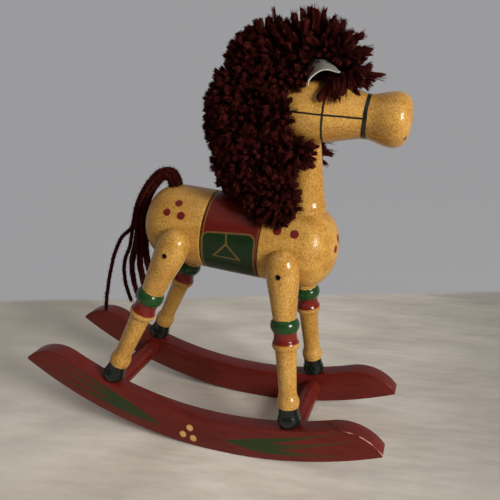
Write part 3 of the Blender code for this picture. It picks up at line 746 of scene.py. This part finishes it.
def make_wood():
    add_piece("body_barrel", body_turning(), body_look(), ["body"])
    add_piece("head_turning", head_turning(), head_look(), ["head"])
    height = (HEAD_Z - HEAD_R - NECK_BASE.z) / NECK_UP.z
    neck = [
        (-6.0, 11.3), (0.6, 11.3), (2.0, 11.1), (3.0, 10.7), (5.0, 10.55),
        (height / 2, 9.6), (height + 6.0, 8.4),
    ]
    mesh = lathe("neck_dowel", neck, NECK_BASE, NECK_UP, 64)
    mesh = shaped(mesh, [body_turning(0.1), head_turning(grow=0.1)])
    add_piece("neck_dowel", mesh, neck_look(), ["neck"])
    for end, (_, _, _, stretch) in LEGS.items():
        look = leg_look(end)
        profile = [(-3.0, 5.0)] + refine([(height * stretch, radius) for height, radius in LEG_PROFILE])
        for side, sign in SIDES.items():
            foot, up = leg_axis(end, sign)
            mesh = lathe("leg", profile, foot, up, 56)
            place = foot + up * ((BRAD_Z - foot.z) / up.z)
            bottom = (place.x, sign * (BRAD_HEAD_Y - BRAD_HOLE_DEPTH), place.z)
            hole = lathe("cut", [(0.0, BRAD_HOLE_R), (14.0, BRAD_HOLE_R)], bottom, (0, sign, 0), 24)
            cuts = [slab("cut", rocker_outline(0.15), -90, 90), body_turning(0.1), hole]
            name = f"leg_{end}_{side}"
            add_piece(name + "_turning", shaped(mesh, cuts), look, [name])


make_wood()


# ================================================================ rockers, crossbars, brads
# painted leaves on the rockers: X of the tip, then for each prong three points of
# its middle line (X, Z), the X where it ends, and its half width
LEAVES = [
    (24.2, [
        ((24.7, 10.7), (56.0, 20.6), (91.4, 37.0), 93.0, 2.0),
        ((24.7, 10.7), (60.0, 17.4), (101.1, 34.9), 103.0, 2.0),
        ((24.7, 10.7), (60.0, 13.3), (94.0, 21.9), 96.0, 2.0),
    ]),
    (-19.5, [
        ((-20.5, 8.8), (-56.5, 22.2), (-85.2, 33.4), -88.0, 2.1),
        ((-20.5, 8.8), (-60.0, 19.6), (-96.2, 30.6), -98.5, 2.1),
        ((-20.5, 8.4), (-56.5, 14.6), (-93.3, 22.1), -96.0, 2.1),
    ]),
]
ROCKER_DOTS, ROCKER_DOT_R = [(1.2, 12.3), (-3.2, 6.2), (4.0, 5.3)], 2.15


def leaf(x, z, tip_x, prongs):
    """A three-pronged painted leaf: tapered strokes that share one tip."""
    whole = None
    for *line, end, width in prongs:
        a, b, c = through(*line)
        middle = (x * c + b) * x + a
        share = (x - tip_x) / (end - tip_x)
        rising = share.ramp(-0.06, 0.30)
        falling = ((share - 0.42) / 0.6).highest(0.0).lowest(1.0) * -0.85 + 1.0
        half = rising * falling * width
        outside = abs(z - middle) - half + (abs(share - 0.5) - 0.5).highest(0.0) * 200.0
        whole = outside if whole is None else whole.lowest(outside)
    return whole


def through(first, second, third):
    """The parabola a + b x + c x*x through three points."""
    (x0, z0), (x1, z1), (x2, z2) = first, second, third
    c = ((z2 - z0) / (x2 - x0) - (z1 - z0) / (x1 - x0)) / (x2 - x1)
    b = (z1 - z0) / (x1 - x0) - c * (x0 + x1)
    return z0 - b * x0 - c * x0 * x0, b, c


def red_look(name, painted):
    """Dark red paint on a sawn board, with faint grain and scuffs; rockers are painted on."""
    look = Look(name, roughness=0.42, coat=0.25)
    grain = look.noise(2.2, (9.0, 1, 1), 5.0, 0.65)
    cloud = look.noise(14.0, (2.0, 1, 1), 3.0)
    share = grain.ramp(0.35, 0.75) * 0.6 + cloud.ramp(0.4, 0.7) * 0.4
    colour = look.mix((0.140, 0.0140, 0.0090), (0.088, 0.0075, 0.0052), share)
    if painted:
        colour = rocker_paint(look, colour)
    scuff = look.noise(3.0, (1, 1, 1), 6.0, 0.75)
    return look.finish(colour, grain, 0.06, scuff.ramp(0.3, 0.75, 0.34, 0.55))


def rocker_paint(look, colour):
    """Leaves and dots on the outer faces, and pale worn corners at the front."""
    x, z = look.x, look.z
    wobble = edge_noise(look, 1.6, 0.5)
    front, rear = (leaf(x, z + wobble * 0.5, tip_x, prongs) for tip_x, prongs in LEAVES)
    outer = abs(look.y).ramp(ROCKER_OUTER - 0.9, ROCKER_OUTER - 0.6, 30.0, 0.0)
    thin = abs(x).ramp(55.0, 85.0)
    green = look.mix((0.022, 0.038, 0.008), (0.070, 0.030, 0.007), thin)
    colour = paint(look, colour, [(front.lowest(rear) + outer, 0.22, green)])
    for dot_x, dot_z in ROCKER_DOTS:
        away = dot(x - dot_x, z - dot_z, ROCKER_DOT_R) + wobble + outer
        rim, middle = (away - 0.35, 0.25, (0.30, 0.10, 0.02)), (away, 0.3, (0.64, 0.40, 0.14))
        colour = paint(look, colour, [rim, middle])
    corner = abs(abs(look.y) - ROCKER_OUTER).below(0.35, 0.25) * abs(z - rocker_edge(x)).below(0.45, 0.3)
    worn = corner * x.ramp(88.0, 96.0) * look.noise(7.0, (1, 1, 1), 3.0).ramp(0.42, 0.56)
    return look.mix(colour, (0.66, 0.45, 0.34), worn * 0.85)


def rocker_edge(x):
    """Height of the rocker's rounded top corner near its ends, as a shader number."""
    centre_x, centre_z = NOSE_CENTRE
    inside = (x - centre_x) * (x - centre_x) * -1.0 + NOSE_R ** 2
    return inside.highest(0.0).root() + centre_z


def make_rockers():
    look = red_look("rocker_paint", True)
    for side, sign in SIDES.items():
        low, high = sorted((sign * ROCKER_INNER, sign * ROCKER_OUTER))
        mesh = shaped(slab("rocker", rocker_outline(), low, high), bevel=0.55)
        add_piece(f"rocker_{side}_board", mesh, look, [f"rocker_{side}"])
    plain = red_look("crossbar_paint", False)
    for end, x in CROSSBARS.items():
        reach = ROCKER_INNER + 2.0
        profile = [(0.0, CROSSBAR_R), (2 * reach, CROSSBAR_R)]
        mesh = lathe("crossbar", profile, (x, -reach, CROSSBAR_Z), (0, 1, 0), 48)
        add_piece(f"crossbar_{end}_dowel", mesh, plain, [f"crossbar_{end}"])


def dress_brads():
    look = Look("brad_steel", roughness=0.45, metallic=1.0)
    rust = look.noise(0.6, detail=3.0).ramp(0.4, 0.7)
    metal = look.finish(look.mix((0.16, 0.13, 0.09), (0.05, 0.028, 0.015), rust), rust, 0.05)
    for name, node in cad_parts.items():
        if name.startswith("brad"):
            node.data.materials.clear()
            node.data.materials.append(metal)


make_rockers()
dress_brads()


# ================================================================ ears
EAR_NEAR_EDGE = [
    (46.8, -15.0, 226.6), (48.0, -17.6, 230.6), (52.6, -19.0, 235.0),
    (57.2, -18.2, 236.3), (62.2, -15.6, 235.2),
]
EAR_CREST = [
    (44.6, -11.0, 236.0), (47.6, -12.2, 239.2), (52.4, -13.2, 240.4),
    (57.2, -14.0, 239.0), (62.6, -15.2, 235.6),
]
EAR_FAR_EDGE = [
    (44.0, -6.0, 236.6), (47.0, -7.2, 239.0), (52.0, -9.4, 239.6),
    (57.4, -11.8, 238.0), (62.8, -14.8, 235.2),
]
EAR_LINES = (EAR_NEAR_EDGE, EAR_CREST, EAR_FAR_EDGE)     # the left ear; the right one is its mirror image
EAR_THICKNESS = 0.9


def ear_looks():
    """The woven backing, the black face and the pale cut edge of the leatherette."""
    backing = Look("ear_backing", roughness=0.9)
    across = (backing.x * 5.2).math("SINE") * (backing.z * 5.2 + backing.y * 3.0).math("SINE")
    weave = across.ramp(-0.6, 0.6)
    spots = backing.noise(1.2, detail=3.0).ramp(0.3, 0.7)
    woven = backing.mix((0.085, 0.083, 0.074), (0.26, 0.255, 0.235), weave)
    cloth = backing.finish(backing.mix(woven, (0.15, 0.14, 0.12), spots * 0.5), weave, 0.12)
    inside = Look("ear_inside", roughness=0.55)
    pores = inside.noise(0.5, detail=3.0)
    grained = inside.mix((0.012, 0.012, 0.014), (0.03, 0.028, 0.028), pores.ramp(0.4, 0.7))
    black = inside.finish(grained, pores, 0.06)
    rim = Look("ear_cut_edge", roughness=0.8)
    frayed = rim.noise(0.7, detail=3.0).ramp(0.35, 0.7)
    edge = rim.finish(rim.mix((0.66, 0.65, 0.60), (0.40, 0.385, 0.345), frayed), frayed, 0.08)
    return [cloth, black, edge]


def make_ears():
    looks = ear_looks()
    for side, sign in SIDES.items():
        rows, steps = [], 16
        for near, crest, far in zip(*(smooth_route(line, 6) for line in EAR_LINES)):
            row = []
            for k in range(steps + 1):
                t = k / steps
                p = near * (1 - t) * (1 - 2 * t) + crest * 4 * t * (1 - t) + far * t * (2 * t - 1)
                row.append(Vector((p.x, -sign * p.y, p.z)))
            rows.append(row)
        wide, faces = steps + 1, []
        for r in range(len(rows) - 1):
            for k in range(r * wide, r * wide + steps):
                faces.append((k, k + 1, k + wide + 1, k + wide))
        mesh = mesh_from("ear", [p * MM for row in rows for p in row], faces, angle=180)
        outward = sum((f.normal * f.area for f in mesh.polygons), Vector())
        if outward.z < 0:
            mesh.flip_normals()
        piece = add_piece(f"ear_{side}_leaf", mesh, looks, [f"ear_{side}"])
        solid = piece.modifiers.new("thickness", "SOLIDIFY")
        solid.thickness, solid.offset = EAR_THICKNESS * MM, 0.0
        solid.material_offset, solid.material_offset_rim = 1, 2
        crest = [Vector(p) for p in EAR_CREST]
        length = sum((b - a).length for a, b in zip(crest, crest[1:]))


make_ears()

# ================================================================ mane
MANE_LUMPS = [                      # centre and half-axes of each
    ((12.0, 0.0, 206.0), (28.0, 25.0, 36.0)),
    ((26.0, 0.0, 232.0), (32.0, 22.0, 27.0)),
    ((46.0, 0.0, 241.0), (25.0, 17.0, 20.0)),
    ((60.0, 0.0, 235.0), (16.0, 14.0, 14.0)),
    ((18.0, 0.0, 180.0), (27.0, 26.0, 27.0)),
    ((42.0, 0.0, 188.0), (13.0, 21.0, 14.0)),
]
PAIRED_LUMPS = [
    ((34.0, 16.0, 162.0), (17.0, 12.0, 20.0)),
    ((32.5, 16.0, 211.0), (12.5, 11.0, 15.0)),
    ((44.0, 12.0, 191.0), (12.0, 11.0, 11.0)),
]
for (lump_x, lump_y, lump_z), half_axes in PAIRED_LUMPS:
    MANE_LUMPS += [((lump_x, sign * lump_y, lump_z), half_axes) for sign in SIDES.values()]
LUMP_CENTRES = np.array([c for c, _ in MANE_LUMPS])
LUMP_AXES = np.array([a for _, a in MANE_LUMPS])
MANE_PILE = 3.6                     # how far the pile stands above the mass under it
MANE_SEED = 5
UNDERCOAT_SPACING, PLUG_SPACING = 2.1, 2.75
FIBRES_PER_PLUG, STRAYS_PER_PLUG, FIBRE_POINTS = 26, 5, 6
NEIGHBOURS = [(dx, dy, dz) for dx in (-1, 0, 1) for dy in (-1, 0, 1) for dz in (-1, 0, 1)]


def lump_depth(points, inset):
    """How deep points are in the mane's mass: positive inside, in units of the nearest half-axis."""
    scaled = (points[:, None, :] - LUMP_CENTRES[None]) / (LUMP_AXES[None] - inset)
    return (1.0 - np.linalg.norm(scaled, axis=2)).max(axis=1)


def wood_clearance(points):
    """Distance in mm outside the barrel, the head and the neck."""
    x, y, z = points.T
    body = np.hypot(y, z - BODY_Z) - BODY_R
    radii = np.interp(x, [p[0] for p in HEAD_PROFILE], [p[1] for p in HEAD_PROFILE])
    beside, beyond = np.hypot(y, z - HEAD_Z) - radii, np.where(x <= 26.0, 26.5 - x, x - 102.0)
    head = np.where((x > 26.0) & (x < 103.0), beside, beyond)
    foot_x, foot_z, foot_r, slope, taper = 51.0, 157.7, 10.8, 0.1317, 0.05
    neck = np.hypot(x - (foot_x - slope * (z - foot_z)), y) - foot_r + (z - foot_z) * taper
    return np.minimum(np.minimum(body, head), neck)


def mane_roots(rng, spacing):
    """Evenly scattered points on the outside of the mass, with the outward direction."""
    found, normals, power = [], [], 1.6
    for centre, axes in zip(LUMP_CENTRES, LUMP_AXES - MANE_PILE):
        products = sum((axes[i] * axes[j]) ** power / 3 for i, j in ((0, 1), (0, 2), (1, 2)))
        area = 4 * math.pi * products ** (1 / power)
        unit = rng.normal(size=(int(area / spacing ** 2 * 9), 3))
        unit /= np.linalg.norm(unit, axis=1, keepdims=True)
        points = centre + unit * axes
        out = unit / axes
        out /= np.linalg.norm(out, axis=1, keepdims=True)
        keep = lump_depth(points, MANE_PILE) < 0.002
        keep &= wood_clearance(points) > -1.0
        found.append(points[keep])
        normals.append(out[keep])
    points, normals = np.concatenate(found), np.concatenate(normals)
    order = rng.permutation(len(points))
    points, normals = points[order], normals[order]
    taken, cells = [], {}
    for index, point in enumerate(points):
        cell = tuple((point // spacing).astype(int))
        near = []
        for dx, dy, dz in NEIGHBOURS:
            near += cells.get((cell[0] + dx, cell[1] + dy, cell[2] + dz), ())
        if all(((points[j] - point) ** 2).sum() > spacing ** 2 for j in near):
            taken.append(index)
            cells.setdefault(cell, []).append(index)
    return points[taken], normals[taken]


TUFT_RINGS = ((0.0, 0.5), (0.5, 0.8), (0.84, 0.86), (0.97, 0.6))      # share of length, share of radius


def tuft_block(roots, ways, lengths, radii, rng, sides=8):
    """Closed ragged plugs of yarn: every side is a sheaf of fibres that ends at its own height."""
    count = len(roots)
    side = side_ways(ways, rng)
    across = np.cross(ways, side)
    bend = (side * rng.normal(size=(count, 1)) + across * rng.normal(size=(count, 1))) * 0.12
    flute = np.where(np.arange(sides) % 2, 1.12, 0.72) * rng.uniform(0.82, 1.15, (count, sides))
    ragged = rng.uniform(-0.16, 0.10, (count, sides)) + (flute - 0.92) * 0.25
    tone = rng.uniform(0.55, 1.0, count)
    points, shade = [], []
    for height, swell in TUFT_RINGS:
        reach = np.clip(height + ragged * height ** 2, 0.0, None)
        for k in range(sides):
            a = 2 * math.pi * k / sides
            rise = reach[:, k:k + 1]
            centre = roots + (ways * rise + bend * rise ** 2) * lengths[:, None]
            out = side * math.cos(a) + across * math.sin(a)
            points.append(centre + out * (radii * swell * flute[:, k])[:, None])
            # painted shade near the root and between the flutes, painted highlight towards the cut end and
            # on the ridges, times a random tone
            shade.append(np.clip(height * 0.75 + (flute[:, k] - 0.9) * 0.6, 0, 1) * tone)
    points = np.stack(points, axis=1).reshape(-1, 3)
    shade = np.stack(shade, axis=1).reshape(-1)
    return points, repeated_faces(count, len(TUFT_RINGS), sides), shade


def brushes(roots, ways, lengths, radii, rng, each):
    """Sheaves of fibres that fan out from each root and end at slightly different heights."""
    pick = np.repeat(np.arange(len(roots)), each)
    way, length, radius = ways[pick], lengths[pick][:, None], radii[pick][:, None]
    side = side_ways(way, rng)
    spread = np.sqrt(rng.uniform(0.0, 1.0, (len(pick), 1)))
    low, high = (rng.uniform(*limits, (len(pick), 1)) for limits in ((0.25, 0.6), (0.86, 1.12)))
    starts = roots[pick] + way * length * low + side * radius * spread * 0.55
    ends = roots[pick] + way * length * high + side * radius * spread * 1.15
    ends += rng.normal(size=ends.shape) * 0.16
    return fibre_block(starts, ends, rng.uniform(0.10, 0.19, len(pick)), rng)


def stray_fibres(roots, ways, lengths, rng, each, reach):
    """Thin single fibres that stand off in all directions."""
    pick = np.repeat(np.arange(len(roots)), each)
    starts = roots[pick] + ways[pick] * (lengths[pick] * rng.uniform(0.4, 0.95, len(pick)))[:, None]
    out = ways[pick] + side_ways(ways[pick], rng) * rng.uniform(0.4, 1.6, (len(pick), 1))
    out /= np.linalg.norm(out, axis=1, keepdims=True)
    ends = starts + out * (rng.uniform(0.5, 1.0, len(pick)) * reach)[:, None]
    return fibre_block(starts, ends, rng.uniform(0.035, 0.06, len(pick)), rng, blunt=0.4)


def core_mesh():
    """The mass that the plugs stand on, in the deepest painted shade."""
    build = bmesh.new()
    for centre, axes in MANE_LUMPS:
        made = bmesh.ops.create_icosphere(build, subdivisions=4, radius=1.0)
        for vertex in made["verts"]:
            place = [centre[i] + (axes[i] - MANE_PILE - 1.0) * vertex.co[i] for i in range(3)]
            vertex.co = Vector([value * MM for value in place])
    mesh = bpy.data.meshes.new("mane_core")
    build.to_mesh(mesh)
    build.free()
    piece = linked("work", mesh)
    weld = piece.modifiers.new("weld", "REMESH")
    weld.mode, weld.voxel_size = "VOXEL", 1.6 * MM
    neck = lathe("cut", [(-8.0, 11.8), (52.0, 9.4)], NECK_BASE, NECK_UP, 48)
    done = shaped(applied(piece), [body_turning(0.4), head_turning(48, 0.4), neck])
    # painted shade: no painted light at all, so the core is near black
    set_painted_light(done, np.zeros(len(done.vertices)))
    return done


# root, tip and radius of the long wisps: those on the crown, and those that hang over each brow
CROWN_WISPS = [
    ((24.0, -3.0, 252.0), (21.0, -5.0, 264.0), 0.9), ((33.0, -2.0, 255.0), (33.5, -4.0, 267.5), 0.8),
    ((66.0, -2.0, 236.0), (84.0, -5.0, 234.6), 1.5), ((64.0, -5.0, 246.0), (76.5, -8.0, 247.5), 2.6),
    ((62.0, -4.0, 250.0), (71.5, -6.0, 255.0), 2.6), ((46.0, -3.0, 256.0), (49.0, -4.0, 266.0), 1.6),
    ((52.0, -8.0, 254.0), (57.5, -11.0, 262.0), 1.8), ((40.0, 8.0, 255.0), (41.0, 11.0, 264.5), 1.6),
    ((58.0, 9.0, 248.0), (66.0, 14.0, 254.0), 1.9), ((14.0, 4.0, 250.0), (9.0, 6.0, 258.0), 1.5),
    ((39.0, -4.0, 253.0), (39.0, -8.0, 265.5), 2.3), ((43.0, -5.0, 254.0), (43.5, -9.0, 266.5), 2.4),
    ((46.0, -7.0, 253.0), (47.5, -13.0, 264.5), 2.4), ((36.0, -7.0, 252.0), (34.5, -13.0, 263.0), 2.2),
    ((42.0, 4.0, 254.0), (43.0, 7.0, 265.0), 2.3), ((41.0, -10.0, 251.0), (41.0, -17.0, 260.0), 2.3),
    ((43.0, 14.0, 196.0), (58.5, 18.0, 194.5), 2.0), ((43.0, 14.0, 191.0), (59.0, 19.0, 187.5), 2.0),
    ((43.0, 14.0, 187.0), (56.5, 17.0, 180.5), 1.5), ((43.0, 13.0, 183.0), (54.0, 15.0, 173.5), 1.2),
]
BROW_WISPS = [
    ((52, 10, 233), (50.5, 18.5, 228), 1.5), ((56, 9, 235), (55, 18.5, 227), 1.8),
    ((58, 10, 234), (57, 18.5, 223), 1.9), ((61, 10, 234), (61, 18.5, 220.5), 2.1),
    ((64, 9, 235), (65, 17.5, 221.5), 2.2), ((66, 8, 236), (69, 16, 224), 2.1),
    ((62, 8, 236), (66, 18, 226.5), 1.9), ((54, 11, 233), (52.5, 19.5, 226), 1.6),
    ((68, 6, 237), (73, 13, 229), 1.9), ((59, 9, 235), (63.5, 19, 224), 1.7),
]
BROW_SHIFT, BROW_SWELL = 2.5, 1.15


def loose_wisps():
    """All the long wisps, those over the brow on both sides."""
    wisps = list(CROWN_WISPS)
    for sign in SIDES.values():
        for root, tip, radius in BROW_WISPS:
            ends = [(x - BROW_SHIFT, sign * y, z) for x, y, z in (root, tip)]
            wisps.append((*ends, radius * BROW_SWELL))
    return wisps


def mane_part(roots, left):
    """The name of the pile that each plug belongs to, by its place."""
    low = roots[:, 2] < 214.0
    brow = roots[:, 0] >= 52.0
    return {
        ("mane_neck", "left"): low & left, ("mane_neck", "right"): low & ~left,
        ("mane_crown", "left"): ~low & ~brow & left, ("mane_crown", "right"): ~low & ~brow & ~left,
        ("forelock", ""): ~low & brow,
    }


def make_undercoat(rng):
    """Short fibres all over the mass, under the plugs."""
    roots, out = mane_roots(rng, UNDERCOAT_SPACING)
    open_air = (wood_clearance(roots + out * 2.0) > 0.4) & (ears_clearance(roots + out * 2.0) > 0.8)
    roots, out = roots[open_air], out[open_air]
    ways = out + rng.normal(size=out.shape) * 0.25
    lengths, radii = np.full(len(out), 3.8), np.full(len(out), 1.5)
    points, faces, shade = brushes(roots - out * 1.5, ways, lengths, radii, rng, each=9)
    # painted shade: the undercoat's painted light cut to 0.45, as it lies under the plugs
    mesh = join_blocks("mane_undercoat", [(points, faces, shade * 0.45)])
    add_piece("mane_undercoat", mesh, YARN)


def mane_plugs(rng):
    """Root, way, length and radius of every plug of yarn, the long wisps last."""
    roots, out = mane_roots(rng, PLUG_SPACING)
    top = np.clip((roots[:, 2] - 232.0) / 14.0, 0, 1) * np.clip((roots[:, 0] - 2.0) / 18.0, 0, 1)
    brow = np.clip((roots[:, 0] - 50.0) / 12.0, 0, 1)
    spiky = np.maximum(top, brow)
    ways = out + rng.normal(size=out.shape) * 0.30
    ways[:, 2] -= 0.10 * (1 - spiky)
    ways /= np.linalg.norm(ways, axis=1, keepdims=True)
    lengths = rng.uniform(4.8, 7.6, len(roots)) * (1 + 0.30 * spiky)
    radii = rng.uniform(1.25, 1.95, len(roots)) * (1 - 0.15 * spiky)
    roots = roots - ways * 2.4
    wisps = loose_wisps()
    gone = np.array([np.subtract(tip, root) for root, tip, _ in wisps])
    reach = np.linalg.norm(gone, axis=1)
    roots = np.concatenate([roots, np.array([root for root, _, _ in wisps])])
    ways = np.concatenate([ways, gone / reach[:, None]])
    lengths = np.concatenate([lengths, reach])
    radii = np.concatenate([radii, [radius for _, _, radius in wisps]])
    keep = np.ones(len(roots), dtype=bool)
    for share in (0.6, 1.0):
        ends = roots + ways * (lengths * share)[:, None]
        keep &= wood_clearance(ends) > 0.9
        keep &= ears_clearance(ends) > 1.5
        keep &= under_ear(ends) > 1.0
    return roots[keep], ways[keep], lengths[keep], radii[keep]


def make_mane():
    """The core, the undercoat, and the pile in its five parts."""
    rng = np.random.default_rng(MANE_SEED)
    add_piece("mane_core", core_mesh(), YARN)
    make_undercoat(rng)
    roots, ways, lengths, radii = mane_plugs(rng)
    for (node, side), chosen in mane_part(roots, roots[:, 1] >= 0).items():
        args = (roots[chosen], ways[chosen], lengths[chosen], radii[chosen], rng)
        tone = rng.uniform(0.5, 1.0, chosen.sum())
        plugs = tuft_block(*args)
        points, faces, shade = brushes(*args, each=FIBRES_PER_PLUG)
        sheaves = points, faces, shade * np.repeat(tone, FIBRES_PER_PLUG * FIBRE_POINTS)
        stray = stray_fibres(*args[:3], rng, STRAYS_PER_PLUG, 2.4)
        name = "_".join(filter(None, (node, "pile", side)))
        add_piece(name, join_blocks(name, [plugs, sheaves, stray]), YARN, [node])


def ears_clearance(points):
    """Distance in mm from the ears, each drawn out sideways so that no yarn hides it."""
    best = np.full(len(points), 1e9)
    for sign in SIDES.values():
        for line in EAR_LINES:
            for x, y, z in smooth_route(line, 2):
                apart = points - np.array((x, -sign * y, z))
                beyond = np.where(apart[:, 1] * sign > 0, 0.0, apart[:, 1])
                best = np.minimum(best, np.sqrt(apart[:, 0] ** 2 + beyond ** 2 + apart[:, 2] ** 2))
    return best


def under_ear(points):
    """Above 1 outside the hollows that the ears arch over."""
    best = np.full(len(points), 1e9)
    for sign in SIDES.values():
        hollow = (points - np.array((53.0, sign * 15.0, 231.0))) / np.array((6.0, 7.0, 4.5))
        best = np.minimum(best, np.linalg.norm(hollow, axis=1))
    return best


make_mane()


# ================================================================ stage and light
BACKDROP = (0.33, 0.325, 0.335)
FLOOR_HALF = 8.0                    # metres
WALL_WAY = Vector((-0.39, 0.92, 0.0))


def make_stage():
    """A pale creased cloth under the horse, which runs into a plain pale backdrop."""
    build = bmesh.new()
    bmesh.ops.create_grid(build, x_segments=2, y_segments=2, size=FLOOR_HALF)
    mesh = bpy.data.meshes.new("floor")
    build.to_mesh(mesh)
    build.free()
    floor = linked("floor", mesh)
    floor.location.z = -0.0001
    look = Look("floor_cloth", roughness=0.9)
    look.shader.inputs["Specular IOR Level"].default_value = 0.1
    fold = look.noise(75.0, (1.6, 0.8, 1), 1.5, 0.4)
    crease = look.noise(26.0, (1.8, 0.7, 1), 2.0, 0.5)
    weave = look.noise(2.4, (1.5, 1, 1), 3.0, 0.6)
    relief = fold * 0.75 + crease * 0.25
    # painted light and shade: the cloth paler where the folds rise and darker in the creases, mixed with the
    # weave
    cloth = look.mix((0.66, 0.61, 0.53), (0.86, 0.81, 0.73), relief.ramp(0.35, 0.65) * 0.75 + weave * 0.25)
    shade = look.x.ramp(30.0, 230.0)
    cloth = look.mix(cloth, (0.38, 0.355, 0.32), shade * 0.9)
    beyond = (look.y - look.x * 0.35 - 222.0 + relief * 12.0).ramp(-5.0, 7.0)
    colour = look.mix(cloth, (0.06, 0.06, 0.06), beyond)
    emission = look.mix((0.0, 0.0, 0.0), BACKDROP, beyond * 0.92)
    look.tree.links.new(emission, look.shader.inputs["Emission Color"])
    look.shader.inputs["Emission Strength"].default_value = 1.0
    mesh.materials.append(look.finish(colour, relief + weave * 0.01, 9.0))


def add_light(name, place, target, size, power, colour):
    data = bpy.data.lights.new(name, "AREA")
    data.shape, data.size, data.size_y = "RECTANGLE", size[0], size[1]
    data.energy, data.color = power, colour
    lamp = linked(name, data)
    way = Vector(target) - Vector(place)
    lamp.matrix_world = Matrix.Translation(Vector(place)) @ way.to_track_quat("-Z", "Y").to_matrix().to_4x4()


def make_lights():
    """A key lamp at the front right, a soft lamp above, and a world that is dimmer towards the wall."""
    SCENE.view_settings.view_transform = "Standard"
    world = bpy.data.worlds.new("studio")
    SCENE.world = world
    world.use_nodes = True
    nodes, links = world.node_tree.nodes, world.node_tree.links
    nodes["Background"].inputs["Color"].default_value = (*BACKDROP, 1.0)
    away = nodes.new("ShaderNodeVectorMath")
    away.operation = "DOT_PRODUCT"
    away.inputs[1].default_value = WALL_WAY
    links.new(nodes.new("ShaderNodeTexCoord").outputs["Generated"], away.inputs[0])
    dim = nodes.new("ShaderNodeMapRange")
    dim.inputs["From Min"].default_value, dim.inputs["From Max"].default_value = -0.2, 0.35
    dim.inputs["To Min"].default_value, dim.inputs["To Max"].default_value = 0.30, 1.0
    links.new(away.outputs["Value"], dim.inputs["Value"])
    links.new(dim.outputs["Result"], nodes["Background"].inputs["Strength"])
    add_light("key", (0.88, -0.48, 0.42), (0.0, 0.0, 0.12), (0.34, 0.34), 11.0, (1.0, 0.97, 0.92))
    add_light("top", (0.0, -0.3, 1.0), (0.0, 0.0, 0.0), (1.0, 1.0), 1.5, (1.0, 0.93, 0.80))


make_stage()
make_lights()
